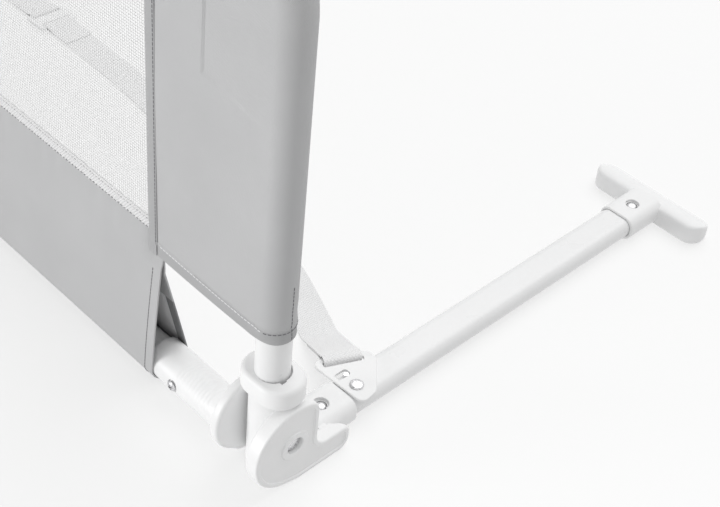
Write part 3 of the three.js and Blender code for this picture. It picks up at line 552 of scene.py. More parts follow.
# %% Side panels
SLEEVE = 14.0
TOP_AXIS = 426.0
CORNER_BEND = 60.0
SEAM_U = -114.0
SEAM_Z = 392.0
HEM_Z = 128.5
FRONT = -SLEEVE + CLOTH / 2
RING = SLEEVE - CLOTH / 2
PLY_POINTS, TURN_POINTS = 34, 20


def tube_station(far):
    """The tube's middle and its outward direction, in (u, z), at a distance along it from the hem."""
    straight = TOP_AXIS - CORNER_BEND - HEM_Z
    angle = min(max((far - straight) / CORNER_BEND, 0), math.pi / 2)
    rest = max(0, far - straight - CORNER_BEND * math.pi / 2)
    middle = Vector((CORNER_BEND * (math.cos(angle) - 1) - rest,
                     HEM_Z + min(far, straight) + CORNER_BEND * math.sin(angle)))
    return middle, Vector((math.cos(angle), math.sin(angle)))


def seam_station(far):
    """Where the two plies meet beside that station: up the window's side, then waiting at its corner."""
    straight = TOP_AXIS - CORNER_BEND - HEM_Z
    return Vector((SEAM_U, HEM_Z + (SEAM_Z - HEM_Z) * min(far / straight, 1)))


def hem_wrinkle(u, z):
    """Small slanting folds beside the post, just above the hem, where the cloth is drawn round the tube."""
    near = ease((HEM_Z + 40 - z) / 34) * ease((u + 26) / 30)
    return 0.3 * near * math.sin((z - 0.9 * u) / 2.6) + 0.2 * near * math.sin((z + 0.35 * u) / 3.7 + 1.3)


def slack(u, z):
    """The slow unevenness of cloth that isn't drawn tight."""
    return 0.5 * math.sin(z / 61 + u / 47) + 0.35 * math.sin(z / 29 - u / 38 + 2.1)


def panel_turn(far):
    middle, outward = tube_station(far)
    seam = seam_station(far)
    front = [seam.lerp(middle, share) for share in spread(0, 1, PLY_POINTS)]
    line = [(p.x, FRONT, p.y) for p in front]
    for angle in spread(-math.pi / 2, math.pi / 2, TURN_POINTS)[1:-1]:
        out = middle + outward * RING * math.cos(angle)
        line.append((out.x, RING * math.sin(angle), out.y))
    for share in spread(1, 0, PLY_POINTS):
        p = seam.lerp(middle, share)
        line.append((p.x, FRONT + CLOTH + (RING - FRONT - CLOTH) * share, p.y))
    return line


PANEL_RISE = TOP_AXIS - CORNER_BEND - HEM_Z + CORNER_BEND * math.pi / 2
HEM_DEPTH = 10.5
HEM_FOLD = 0.4


def panel_line(far):
    """One turn of the panel with its slack, its wrinkles and the double cloth of its hem."""
    line = panel_turn(far)
    girth = walk(line)
    moved = []
    for (u, v, z), along in zip(line, girth):
        edge = ease((u - SEAM_U) / 14) * ease((PANEL_RISE - far) / 30)
        side = -1 if along < girth[-1] / 2 else 1
        push = edge * (slack(u, z) * ease((10 - u) / 20) + hem_wrinkle(u, z)) + HEM_FOLD * (far < HEM_DEPTH)
        away = Vector((0, side, 0)) if u < 0 else Vector((u, v, 0)).normalized()
        moved.append(Vector((u, v, z)) + away * push)
    return line, girth, moved


def panel_row(far):
    line, girth, moved = panel_line(far)
    return moved, [(along, z if u < -CORNER_BEND or far < PANEL_RISE / 2 else far + HEM_Z)
                   for along, (u, v, z) in zip(girth, line)]


PANEL_STEPS = [0, 1, 3, 5, 7, 9, 10.3, 10.6, *spread(14, PANEL_RISE, 92)]
panel = cloth_grid("side_panel_cloth", PANEL_STEPS, panel_row)
PANEL_GIRTH = max(walk(panel_turn(far))[-1] for far in PANEL_STEPS)
sewn_sheet(panel)
for face in panel.data.polygons:
    face.material_index = int(face.center.z < HEM_Z + HEM_DEPTH - 0.1)
panels = pair(panel, "side_panel", grey_cloth, "grey_cloth", body=None, replaced="side_panel")
for piece in panels.values():
    piece.data.materials.append(grey_edge)


def lift_with_frame(obj):
    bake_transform(obj)


for piece in panels.values():
    lift_with_frame(piece)

# %% [markdown]
# ## Binding and stitches of the side panel
# The seam beside the window is covered by a narrow darker binding. Each seam is a row of short threads, which
# lie on the cloth.

# %% Binding and stitches of the side panel
def on_panel(far, along_share):
    """A point on the panel's outer skin and its normal, at a height over the hem and a share of the girth."""
    line, girth, moved = panel_line(far)
    at = along_share * girth[-1]
    i = next(k for k in range(1, len(girth)) if girth[k] >= at)
    share = (at - girth[i - 1]) / (girth[i] - girth[i - 1])
    along = (moved[i] - moved[i - 1]).normalized()
    away = Vector((along.y, -along.x, 0)).normalized()
    return moved[i - 1].lerp(moved[i], share) + away * (CLOTH / 2 + 0.05), away


BINDING_IN, BINDING_OUT, BINDING_WIDTH = -115, -106.2, 8.8
TAB_HEIGHT, TAB_LIFT = 10, 0.5


def binding_row(z):
    """One row of the narrow strip over the seam. Its lowest end is a thicker tab."""
    lift = 0.35 + (TAB_LIFT if z < HEM_Z + TAB_HEIGHT else 0)
    points = [(u, FRONT - CLOTH / 2 - lift - 0.3 * math.sin(math.pi * share), z)
              for share, u in zip(spread(0, 1, 6), spread(BINDING_IN, BINDING_OUT, 6))]
    return points, [(u, z) for u in spread(0, BINDING_WIDTH, 6)]


def with_panel(obj, name, finish):
    both = pair(obj, name, finish, "grey_cloth", body=None)
    for piece in both.values():
        lift_with_frame(piece)
    return both


def sewn(name, path, finish, width=0.6):
    """A row of stitches on both panels, along a path of points with their normals."""
    points, normals = zip(*path)
    return with_panel(stitch_row("stitches", points, normals, width=width), name, finish)


SEAM_LINE = (-107.3, FRONT - CLOTH / 2 - 0.75)
HEM_SEWN = 9.0
SIDE_SEWN = 47
FORWARDS = Vector((0, -1, 0))
seam_path = [(Vector((*SEAM_LINE, z)), FORWARDS) for z in spread(HEM_Z + 1, SEAM_Z, 60)]
hem_front = [on_panel(HEM_SEWN, share) for share in spread(0.04, 0.43, 80)]
hem_round = [on_panel(HEM_SEWN, share) for share in spread(0.43, 0.97, 110)]
side_seam = [on_panel(far, 0.5) for far in spread(1, SIDE_SEWN, 40)]
binding_steps = [HEM_Z + 0.2, HEM_Z + 9, HEM_Z + 10.6, *spread(HEM_Z + 16, SEAM_Z, 60)]
panel_binding = sewn_sheet(cloth_grid("binding", binding_steps, binding_row), 0.6)
sewn_on = [with_panel(panel_binding, "panel_binding", grey_edge),
           sewn("seam_stitches", seam_path, dark_thread),
           sewn("hem_stitches", hem_front, pale_thread, 0.75),
           sewn("hem_end_stitches", hem_round, dark_thread),
           sewn("side_stitches", side_seam, dark_thread)]
print("panel stitches ready")

# %% [markdown]
# ## Top sleeve
# Between the corners the same cloth goes over the top rail as one long flat sleeve, whose two plies meet at
# the top of the window.

# %% Top sleeve
TOP_PLY_POINTS = 12
TOP_HALF = RAIL_END - CORNER_BEND


def top_turn(x):
    line = [(x, FRONT, z) for z in spread(SEAM_Z, TOP_AXIS, TOP_PLY_POINTS)]
    for angle in spread(-math.pi / 2, math.pi / 2, TURN_POINTS)[1:-1]:
        line.append((x, RING * math.sin(angle), TOP_AXIS + RING * math.cos(angle)))
    for share in spread(1, 0, TOP_PLY_POINTS):
        line.append((x, FRONT + CLOTH + (RING - FRONT - CLOTH) * share, SEAM_Z + (TOP_AXIS - SEAM_Z) * share))
    return line


def top_row(x):
    line = top_turn(x)
    calm = ease((TOP_HALF - abs(x)) / 60)
    slow = [0.4 * calm * math.sin(x / 23 + z / 9) * (z < TOP_AXIS - 2) for x, v, z in line]
    return [(x, v + wave, z) for wave, (x, v, z) in zip(slow, line)], [(x, along) for along in walk(line)]


top = sewn_sheet(cloth_grid("top_sleeve_cloth", spread(-TOP_HALF, TOP_HALF, 150), top_row))
in_middle(top, "top_sleeve_cloth", grey_cloth, "grey_cloth", "top_sleeve")
lift_with_frame(top)

# %% [markdown]
# ## Lower band
# The band is one long pocket round the bottom rail. Its front ply hangs straight from the binding, turns
# under the rail and comes back up behind it. A hand's breadth above the rail the two plies are sewn together.
# The hem of the back ply is darker, partly its own darker cloth and partly painted shade, and the side of the
# back ply that faces the rail is painted light, as if lit through the thin cloth. The band crosses the fold,
# and is one continuous sheet from the rail to the sockets.

# %% Lower band
RAIL_V, RAIL_Z = -3.0, 17.8
POCKET = 16.7
BAND_TOP = 147.0
PLIES_MEET = 113.0
BAND_END_TOP = 472.5
BAND_END_LOW = 463.5
BAND_HEM = 8.6
TUCK, TUCK_X, TUCK_Z = 1.5, 450, 117
FRONT_POINTS = 34
FRONT_SHARE = 0.42


def band_turn():
    """The pocket's section in (v, z): down in front, under the rail, up behind and along the front ply."""
    line = [(FRONT + (RAIL_V - POCKET - FRONT) * ease(share) ** 0.6, z)
            for share, z in zip(spread(0, 1, FRONT_POINTS), spread(BAND_TOP, RAIL_Z, FRONT_POINTS))]
    for angle in spread(math.pi, 2 * math.pi, 22)[1:-1]:
        line.append((RAIL_V + POCKET * math.cos(angle), RAIL_Z + POCKET * math.sin(angle)))
    back = FRONT + CLOTH + 0.4
    for z in spread(RAIL_Z, PLIES_MEET, 24):
        share = (z - RAIL_Z) / (PLIES_MEET - RAIL_Z)
        line.append((RAIL_V + POCKET + (back - RAIL_V - POCKET) * share, z))
    for z in spread(PLIES_MEET, BAND_TOP, 10)[1:]:
        line.append((back - 0.3 * (z - PLIES_MEET) / (BAND_TOP - PLIES_MEET), z))
    return line


def band_pucker(x, z):
    """Short folds that fan out under the stitched binding, and slow waves lower down."""
    fan = 0.8 * math.exp(-(BAND_TOP - z) / 15) * math.sin(x / 3.1) * math.sin(x / 21 + 1)
    return fan + 0.5 * math.sin(x / 74 + z / 52) * ease((BAND_TOP - z) / 40)


def band_end(z):
    """Half the band's length at a height: its ends lean outwards."""
    return BAND_END_LOW + (BAND_END_TOP - BAND_END_LOW) * min(z / BAND_TOP, 1)


def band_point(step, v, z, front):
    """A point of one ply. At its ends the top of the band is tucked in behind the side panel."""
    x = step * band_end(z)
    push = band_pucker(x, z) * (z > RAIL_Z) * ease((BAND_TOP - z) / 6) * (1 if front else 0.5)
    tucked = TUCK * ease((abs(x) - TUCK_X) / 8) * ease((z - TUCK_Z) / 9)
    return Vector((x, v + push + (tucked if front else -0.3 * tucked), z))


band_section = band_turn()
band_walk = walk([(v, z, 0) for v, z in band_section])
BAND_GIRTH = band_walk[-1]
INNER = 1 - BAND_HEM / BAND_END_LOW


def band_row(step):
    points = [band_point(step, v, z, along < BAND_GIRTH * FRONT_SHARE)
              for (v, z), along in zip(band_section, band_walk)]
    return points, [(step * band_end(z), along) for (v, z), along in zip(band_section, band_walk)]


band_steps = [-1, -INNER, *spread(-INNER + 0.002, INNER - 0.002, 256), INNER, 1]
band = sewn_sheet(cloth_grid("lower_band_cloth", band_steps, band_row))
for face in band.data.polygons:
    x, v, z = face.center
    # Faces of the back ply that face the front ply get the pale finish: painted light, as if shining through
    # the cloth.
    if v > RAIL_V and face.normal.y < -0.2 and z > RAIL_Z:
        face.material_index = 2
    # The hem of the back ply gets the dark finish: darker hem cloth and painted shade.
    if v > RAIL_V and z < PLIES_MEET and abs(x) > band_end(z) - BAND_HEM:
        face.material_index = 1
in_middle(band, "lower_band", grey_cloth, "grey_cloth", "rail_pocket", "band_skirt")
# The second finish is the dark hem: darker cloth with painted shade.
band.data.materials.append(dark_hem_and_shade)
# The third finish is painted light on the inner side of the back ply.
band.data.materials.append(painted_light_side)


def fold_with_sockets(obj):
    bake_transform(obj)


fold_with_sockets(band)
print("band girth", round(BAND_GIRTH, 1))

# %% [markdown]
# ## Binding and stitches of the band
# A ribbed white binding joins the band to the net, between two rows of stitches. The band's own ends are
# hemmed with one row of dark thread.

# %% Binding and stitches of the band
BINDING_LOW, BINDING_TOP, BINDING_HALF = 147.2, 157.5, 457.6


def strip_row(x):
    points = []
    for share in spread(0, 1, 7):
        z = BINDING_LOW + (BINDING_TOP - BINDING_LOW) * share
        bulge = 0.5 * math.sin(math.pi * share) + 0.12 * math.sin(x / 1.7)
        points.append((x, FRONT - 0.5 - bulge, z + 0.15 * math.sin(x / 2.3)))
    return points, [(x, 12 * share) for share in spread(0, 1, 7)]


def binding_stitches(name, z, finish, width):
    line = [Vector((x, FRONT - 1.3, z)) for x in spread(-BINDING_HALF, BINDING_HALF, 200)]
    row = stitch_row("stitches", line, [FORWARDS] * len(line), 3.6, 1.9, width, 0.25)
    in_middle(row, f"binding_{name}_stitches", finish, "white_webbing")
    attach(row, "hinge_sockets")
    return row


strip = sewn_sheet(cloth_grid("strip", spread(-BINDING_HALF, BINDING_HALF, 420), strip_row), 1.0)
in_middle(strip, "window_binding", knit, "white_webbing", "binding_strip")
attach(strip, "hinge_sockets")
binding_rows = [binding_stitches("upper", BINDING_TOP - 2.2, grey_thread, 0.35),
                binding_stitches("lower", BINDING_LOW + 0.8, dark_thread, 0.4)]


HEM_SEAM = 8.2
TUCKED_POINTS, BACK_POINTS = 7, 30


def band_hem():
    """The stitches' line down one end of the front ply and under the rail, and the cloth's normals there."""
    line, outwards = [], []
    for i in range(1 + TUCKED_POINTS, len(band_section) - BACK_POINTS):
        v, z = band_section[i]
        slope = Vector((0, v - band_section[i - 1][0], z - band_section[i - 1][1])).normalized()
        away = Vector((0, slope.z, -slope.y))
        point = band_point(1 - HEM_SEAM / BAND_END_LOW, v, z, i < FRONT_POINTS)
        line.append(point + away * (CLOTH / 2 + 0.05) - Vector((RAIL_END, 0, 0)))
        outwards.append(away)
    return line, outwards


end_row = stitch_row("stitches", *band_hem())
for piece in pair(end_row, "band_end_stitches", dark_thread, "grey_cloth", body=None).values():
    fold_with_sockets(piece)
print("band stitches ready")

# %% [markdown]
# ## Window
# The net is one flat sheet between the binding and the top sleeve. Its holes are in the finish, because a net
# of real threads this fine would take a million faces.

# %% Window net
NET_BOTTOM = 157.6
NET_TOP = 393.0
NET_HALF = 459.0
NET_THICKNESS = 0.4


def net_row(x):
    points = []
    for z in spread(NET_BOTTOM, NET_TOP, 46):
        calm = ease((NET_HALF - abs(x)) / 50) * ease((z - NET_BOTTOM) / 40) * ease((NET_TOP - z) / 40)
        points.append((x, FRONT + 0.3 + 0.8 * calm * math.sin(x / 67 + z / 90), z))
    return points, [(x, z) for x, v, z in points]


window = sewn_sheet(cloth_grid("net", spread(-NET_HALF, NET_HALF, 150), net_row), NET_THICKNESS)
in_middle(window, "window_net", net, "white_net", "mesh_window")
lift_with_frame(window)
print("window", 2 * NET_HALF, "by", NET_TOP - NET_BOTTOM)

# %% [markdown]
# ## Drawing hard parts
# A moulded part is drawn as a closed outline, filled, extruded to its thickness and given rounded edges. A
# round part is a profile spun about its axis. Parts of one moulding are joined by an exact Boolean, and bores
# and slots are cut from the whole.

# %% Outlines
FINE = math.radians(6)


def arc(x, y, radius, start, end):
    turns = spread(start, end, max(2, round(abs(end - start) / FINE)) + 1)
    return [Vector((x + radius * math.cos(a), y + radius * math.sin(a))) for a in turns]


def rounded(corners):
    """A closed outline round corners given as (x, y, radius)."""
    outline = []
    for i, (x, y, radius) in enumerate(corners):
        corner = Vector((x, y))
        before = (Vector(corners[i - 1][:2]) - corner).normalized()
        after = (Vector(corners[(i + 1) % len(corners)][:2]) - corner).normalized()
        half = math.acos(max(-1, min(1, before.dot(after)))) / 2
        centre = corner + (before + after).normalized() * radius / math.sin(half)
        start = corner + before * radius / math.tan(half) - centre
        end = corner + after * radius / math.tan(half) - centre
        turn = math.atan2(start.x * end.y - start.y * end.x, start.dot(end))
        first = math.atan2(start.y, start.x)
        outline += arc(centre.x, centre.y, radius, first, first + turn)
    return outline


def rounded_box(x0, y0, x1, y1, radius):
    return rounded([(x0, y0, radius), (x1, y0, radius), (x1, y1, radius), (x0, y1, radius)])


print("outline helpers ready")

# %% Extruding, rounding, turning and cutting
AXES = {"X": lambda a, b, c: (c, a, b), "Y": lambda a, b, c: (a, c, b), "Z": lambda a, b, c: (a, b, c)}


def round_off(obj, width, segments=4, angle=40):
    return apply_modifier(obj, "BEVEL", width=width, segments=segments, limit_method="ANGLE",
                          angle_limit=math.radians(angle), use_clamp_overlap=False)


def extruded(outline, low, high, axis="Z", round_edges=0.0):
    place = AXES[axis]
    obj = new_mesh("part", [place(p[0], p[1], low) for p in outline], [list(range(len(outline)))])
    raise_face = {"TRANSFORM_OT_translate": {"value": place(0, 0, high - low)}}
    edit_mesh(obj, merged(0.002), (bpy.ops.mesh.extrude_region_move, raise_face), OUTWARDS)
    return round_off(obj, round_edges) if round_edges else obj


def lofted(outlines, heights, axis="Z"):
    """A closed skin through outlines that all have the same number of points."""
    place = AXES[axis]
    count = len(outlines[0])
    points = [place(p[0], p[1], height) for outline, height in zip(outlines, heights) for p in outline]
    faces = [list(range(count)), list(range(len(points) - count, len(points)))]
    for start in range(0, len(points) - count, count):
        faces += [(start + j, start + (j + 1) % count, start + (j + 1) % count + count, start + j + count)
                  for j in range(count)]
    obj = new_mesh("part", points, faces)
    edit_mesh(obj, OUTWARDS)
    return obj


def soft_box(x0, y0, x1, y1, radius, profile, axis="Z"):
    """A rounded box whose sides follow a profile of (inset, height)."""
    outlines = [rounded_box(x0 + i, y0 + i, x1 - i, y1 - i, max(radius - i, 0.5)) for i, height in profile]
    return lofted(outlines, [height for i, height in profile], axis)


def lips(low, high, low_round, high_round, steps=5):
    """A profile of (inset, height) that is rounded at both ends."""
    def turn(size):
        return [(size * (1 - math.cos(a)), size * (1 - math.sin(a))) for a in spread(0, math.pi / 2, steps)]
    return [(i, low + h) for i, h in reversed(turn(low_round))] + [(i, high - h) for i, h in turn(high_round)]


def turned(profile, axis, centre, sides=64):
    """Spins a profile of (radius, height) points about an axis through a centre."""
    place = AXES[axis]
    obj = new_mesh("part", [place(r, 0, h) for r, h in profile], [])
    obj.data.edges.add(len(profile) - 1)
    for i in range(len(profile) - 1):
        obj.data.edges[i].vertices = (i, i + 1)
    round_axis = {"steps": sides, "angle": 2 * math.pi, "center": (0, 0, 0), "axis": place(0, 0, 1)}
    loose = {"use_verts": True, "use_edges": True, "use_faces": False}
    edit_mesh(obj, (bpy.ops.mesh.spin, round_axis), merged(0.0005), (bpy.ops.mesh.delete_loose, loose),
              OUTWARDS, (bpy.ops.transform.translate, {"value": centre}))
    return obj


def combined(operation, obj, others):
    for other in others:
        apply_modifier(obj, "BOOLEAN", operation=operation, solver="EXACT", object=other)
        bpy.data.objects.remove(other)
    return obj


def joined(obj, *others):
    return combined("UNION", obj, others)


def cut(obj, *cutters):
    return combined("DIFFERENCE", obj, cutters)


def common(obj, *others):
    return combined("INTERSECT", obj, others)


def rod(axis, centre, radius, low, high, sides=64):
    """A plain round bar, or the cutter of a plain bore, from low to high along its axis."""
    return turned([(0, low), (radius, low), (radius, high), (0, high)], axis, centre, sides)


def drill(axis, centre, radius, low, high, mouth):
    """A cutter for a hole whose upper rim is rounded off: it runs from low to high along its axis."""
    flare = [(radius + mouth * (1 - math.cos(a)), high - mouth * (1 - math.sin(a)))
             for a in spread(0, math.pi / 2, 4)]
    return turned([(0, low), (radius, low), *flare, (radius + mouth, high + 2), (0, high + 2)], axis, centre)


print("part helpers ready")

# %% [markdown]
# ## Hinge base
# One moulding holds everything at this corner: a hook-shaped outer cheek with a raised rim and a
# boss round the pivot, a plain round inner cheek, a sleeve for the arm and a ribbed sleeve for the rail. The
# fine ribs are waves in the skin of the rail sleeve, pressed inwards.

# %% Cheek outlines
HINGE_Z = 38.0
CHEEK = 36.0
KEEL = math.radians(13.5)
HORN = 12.0
HOOK_WALL = 21.2
HOOK_ROUND = 11.0
HOOK_FLOOR = 21.5
HOOK_REACH = 54.0
TIP_TOP, TIP_LOW = 6.0, 10.0
INNER_FACE, OUTER_FACE = 16.0, 28.0
INNER_CHEEK_FACE = -24.6
INNER_CHEEK_INSET = 1.6


def foot_outline(inset, top):
    radius = CHEEK - inset
    keel = (radius - (HINGE_Z - inset) * math.cos(KEEL)) / math.sin(KEEL)
    tip, low, high = HOOK_REACH - inset, TIP_LOW - inset, TIP_TOP - inset
    return [Vector((-keel, inset)), *arc(tip - low, inset + low, low, -math.pi / 2, 0),
            *arc(tip - high, top - high, high, 0, math.pi / 2)]


def hook_outline(inset):
    radius, horn, wall, top = CHEEK - inset, HORN - inset, HOOK_WALL - inset, HOOK_FLOOR - inset
    horn_v = wall - horn
    horn_z = math.sqrt((radius - horn) ** 2 - horn_v ** 2)
    tilt = math.atan2(horn_z, horn_v)
    bay = HOOK_ROUND + inset
    return [*arc(horn_v, HINGE_Z + horn_z, horn, 0, tilt),
            *arc(0, HINGE_Z, radius, tilt, 1.5 * math.pi - KEEL),
            *foot_outline(inset, top),
            *arc(wall + bay, top + bay, bay, 1.5 * math.pi, math.pi)]


def round_cheek_outline():
    radius, bay = CHEEK - INNER_CHEEK_INSET, 6.0
    bay_v = math.sqrt((radius + bay) ** 2 - (HINGE_Z - HOOK_FLOOR - bay) ** 2)
    meets = math.atan2(HOOK_FLOOR + bay - HINGE_Z, bay_v)
    return [*arc(0, HINGE_Z, radius, meets, 1.5 * math.pi - KEEL),
            *foot_outline(INNER_CHEEK_INSET, HOOK_FLOOR),
            *arc(bay_v, HOOK_FLOOR + bay, bay, 1.5 * math.pi, math.pi + meets)]


print("hook points", len(hook_outline(0)))

# %% Hinge base
PIVOT = (0, 0, HINGE_Z)
RAIL_SLEEVE = 15.6
SLEEVE_BORE = 12.9
SLEEVE_FAR, SLEEVE_STOP = -115.5, -51
RIB_START, RIB_END = -84, -46
RIB_PITCH = 3.45
RIB_DEPTH = 0.3
SCREW_U = -85.5
SCREW_RECESS = 5.1
ARM_HALF, ARM_LOW, ARM_TOP, ARM_ROUND = 15, 3, 20.6, 7.5
ARM_MIDDLE_Z = 11.8
FIT = 0.3
RIM = 3.9
FIELD_DEPTH = 1.3
BOSS = 12.2
PIN_HOLE = 4.3
PIN_WINDOW = 7.0
SOCKET_ROOM = 38.7
SOCKET_HALF = 15.94
BUTTON_HOLE = 6.1
BASE_BUTTON_V, FOOT_BUTTON_V = 50.5, 423
ARM_SLEEVE = (-17.5, 0, 17.5, 23, 9.4)
HORN_BACK = [(10, 70), (10, 41), (15.2, 42), (18, 44.2), (24.6, 53), (25.4, 56), (25.4, 70)]


def arm_oval(grow):
    """The flat oval section of the arm, grown by a distance all round."""
    return rounded_box(-ARM_HALF - grow, ARM_LOW - grow, ARM_HALF + grow, ARM_TOP + grow, ARM_ROUND + grow)


def rail_sleeve():
    """The sleeve, from its far mouth to the cheek. Its grip ribs run over the top and fade out below."""
    mouth = [(SLEEVE_BORE, SLEEVE_FAR + 0.4), (SLEEVE_BORE + 0.5, SLEEVE_FAR),
             (RAIL_SLEEVE - 1.4, SLEEVE_FAR + 0.1), (RAIL_SLEEVE - 0.4, SLEEVE_FAR + 0.7),
             (RAIL_SLEEVE, SLEEVE_FAR + 1.8)]
    grip = [(RAIL_SLEEVE, -100), *[(RAIL_SLEEVE, far) for far in spread(RIB_START, RIB_END, 90)]]
    neck = [(RAIL_SLEEVE, -36), (RAIL_SLEEVE + 1.2, -27), (RAIL_SLEEVE + 1.2, -18), (0, -18)]
    bore = [(0, SLEEVE_STOP), (SLEEVE_BORE, SLEEVE_STOP), mouth[0]]
    sleeve = turned([*mouth, *grip, *neck, *bore], "X", (0, RAIL_V, RAIL_Z), 96)
    for point in sleeve.data.vertices:
        side = Vector((0, point.co.y - RAIL_V, point.co.z - RAIL_Z))
        if RIB_START < point.co.x < RIB_END and side.length > 15:
            wave = 0.5 - 0.5 * math.cos((point.co.x - RIB_START) / RIB_PITCH * 2 * math.pi)
            point.co -= side.normalized() * RIB_DEPTH * wave * ease((side.normalized().z - 0.05) / 0.6)
    return sleeve


def hinge_base():
    hook = extruded(hook_outline(0), INNER_FACE, OUTER_FACE, "X", 1.7)
    cut(hook, extruded(rounded_box(5, 46, 32, 92, 5), INNER_FACE - 6, OUTER_FACE - 5.5, "X"))
    field = extruded(hook_outline(RIM), OUTER_FACE - FIELD_DEPTH, OUTER_FACE + 2, "X")
    cut(field, rod("X", (OUTER_FACE - 3, 0, HINGE_Z), BOSS, 0, 6))
    cut(hook, field, extruded(HORN_BACK, -5, 40))
    round_off(hook, 0.6, 3, 50)
    cheek = extruded(round_cheek_outline(), INNER_CHEEK_FACE, -INNER_FACE, "X", 2.6)
    arm_sleeve = soft_box(*ARM_SLEEVE, lips(HOOK_WALL, 72, 0.5, 1.4), "Y")
    web = extruded(rounded_box(30, 1, 42, HOOK_FLOOR - 0.6, 2), 12, 20, "X")
    base = joined(hook, cheek, arm_sleeve, web, rail_sleeve())
    return cut(base, rod("X", PIVOT, SOCKET_ROOM, -SOCKET_HALF, SOCKET_HALF, 128),
               extruded(arm_oval(FIT), 41.7, 80, "Y"),
               rod("X", PIVOT, PIN_HOLE, -40, 40),
               drill("X", PIVOT, PIN_WINDOW, OUTER_FACE - 5, OUTER_FACE, 0.9),
               rod("X", PIVOT, PIN_WINDOW, -30, -20.5),
               drill("Z", (0, BASE_BUTTON_V, 0), BUTTON_HOLE, ARM_MIDDLE_Z, 23, 0.5),
               rod("Y", (SCREW_U, RAIL_V - RAIL_SLEEVE - 2.5, RAIL_Z), SCREW_RECESS, 0, 4))


base = hinge_base()
hard_pair(base, "hinge_base", plastic, "moulded_plastic", angle=PLASTIC_ANGLE)
print("hinge base faces", len(base.data.polygons))

# %% [markdown]
# ## Post socket
# The socket turns between the cheeks. Its barrel is plain, and its top is a thick rounded collar, whose mouth
# is a little wider than the post.

# %% Post socket
BARREL = 15.6
BARREL_LOW, BARREL_TOP = 3.4, 82
COLLAR = (-23, -18, 26, 18, 17.6)
COLLAR_LOW, COLLAR_TOP = 76.4, 92
COLLAR_BORE = 12.9
POST_BORE = 12.56


def post_socket():
    side = [(BARREL - 1, BARREL_LOW), (BARREL - 0.3, BARREL_LOW + 0.3), (BARREL, BARREL_LOW + 1),
            (BARREL, BARREL_TOP)]
    barrel = turned([(0, BARREL_LOW), *side, (0, BARREL_TOP)], "Z", (0, 0, 0), 96)
    collar = soft_box(*COLLAR, lips(COLLAR_LOW, COLLAR_TOP, 0.9, 3.8, 7))
    return cut(joined(barrel, collar), rod("Z", (0, 0, 0), POST_BORE, 0, 100, 96),
               drill("Z", (0.9, 0.4, 0), COLLAR_BORE, 87.5, COLLAR_TOP, 0.6),
               rod("X", PIVOT, PIN_HOLE, -20, 20),
               extruded(rounded_box(-2.8, 9.2, 2.8, 29.8, 2.6), -20, 20, "X"),
               extruded(rounded_box(11.0, -4.9, 15.2, 0.1, 0.5), 78, 95))


socket = post_socket()
hard_pair(socket, "post_socket", plastic, "moulded_plastic", "hinge_sockets", PLASTIC_ANGLE)
print("socket faces", len(socket.data.polygons))

# %% [markdown]
# ## Tubes and arms
# The post is a round tube. The arm is a flat oval one with a snap button near each end. Both are drawn with
# far more sides than the exact model, so their edges run smoothly.

# %% Post and arm tubes
POST_OUT, POST_IN = 12.5, 11.2
POST_LOW, POST_TOP = 8, 365.7


def post_tube():
    skin = [(POST_IN, POST_LOW), (POST_OUT, POST_LOW), (POST_OUT, POST_TOP), (POST_IN, POST_TOP),
            (POST_IN, POST_LOW)]
    return cut(turned(skin, "Z", (0, 0, 0), 96),
               extruded(rounded_box(-4.3, 18.7, 4.3, 42.3, 4), -20, 20, "X"),
               rod("X", (0, 0, 12), 2.8, -20, 20))


def arm_tube():
    holes = [(0, BASE_BUTTON_V, 5.0), (0, FOOT_BUTTON_V, 5.0), (3.4, 83.5, 2.5)]
    return cut(extruded(arm_oval(0), 42, 436, "Y"), extruded(arm_oval(-1.5), 30, 450, "Y"),
               *[drill("Z", (x, v, 0), radius, 12, ARM_TOP, 0.2) for x, v, radius in holes])


hard_pair(post_tube(), "post_tube", paint, "powder_coated_tube", "guard_frame")
arm = arm_tube()
hard_pair(arm, "arm_tube", paint, "powder_coated_tube")
print("arm faces", len(arm.data.polygons))

# %% [markdown]
# ## T-foot
# The foot is a bar with a soft ridge, which slopes down to the back, and a sleeve for the arm. The bar is
# the common part of two drawn shapes: its section, and its plan with rounded ends. It is then filled with
# small cubes and smoothed, which softens all its edges alike.

# %% T-foot
FOOT_SECTION = [(440, 0, 2.2), (469, 0, 2.6), (469, 11.4, 4.4), (449, 20.3, 8), (440.4, 17.6, 3.6)]
FOOT_PLAN = [(-58, 440, 13.8), (58, 440, 13.8), (58, 469, 12.5), (-58, 469, 12.5)]
FOOT_SLEEVE = (-17.3, 0, 17.3, 22.6, 9.2)


def arm_foot():
    bar = common(extruded(rounded(FOOT_SECTION), -60, 60, "X"), extruded(rounded(FOOT_PLAN), -2, 24))
    apply_modifier(bar, "REMESH", mode="VOXEL", voxel_size=0.8)
    apply_modifier(bar, "SMOOTH", factor=0.6, iterations=60)
    sleeve = soft_box(*FOOT_SLEEVE, lips(402, 446, 1.6, 0.5), "Y")
    return cut(joined(bar, sleeve), extruded(arm_oval(FIT), 396, 436.3, "Y"),
               extruded(arm_oval(2 * FIT), 396, 402.6, "Y"),
               drill("Z", (0, FOOT_BUTTON_V, 0), BUTTON_HOLE, ARM_MIDDLE_Z, 22.6, 0.5))


foot = arm_foot()
hard_pair(foot, "arm_foot", plastic, "moulded_plastic", angle=FOOT_ANGLE)
print("foot faces", len(foot.data.polygons))

# %% [markdown]
# ## Strap plate
# A flat plate is riveted to the arm beside the hinge. The strap is looped round a bar along its outer edge,
# and a slot beside the rivet lets the plate swing a little round a stud.

# %% Strap plate and slider
STRAP_TURN = math.radians(24)
RIVET = Vector((3.4, 83.5))
PLATE_LOW, PLATE_TOP = 20.9, 23.3
PLATE_WIDTH, PLATE_DEPTH = 51, 41
PLATE_SHARES = [(-0.79, -0.29), (0.32, -0.23), (0.27, 0.18), (-0.21, 0.77), (-0.41, 0.78)]


def on_plate(a, b):
    """A place on the plate, in shares of its size from the rivet."""
    return RIVET + Vector((PLATE_WIDTH * a, PLATE_DEPTH * b))


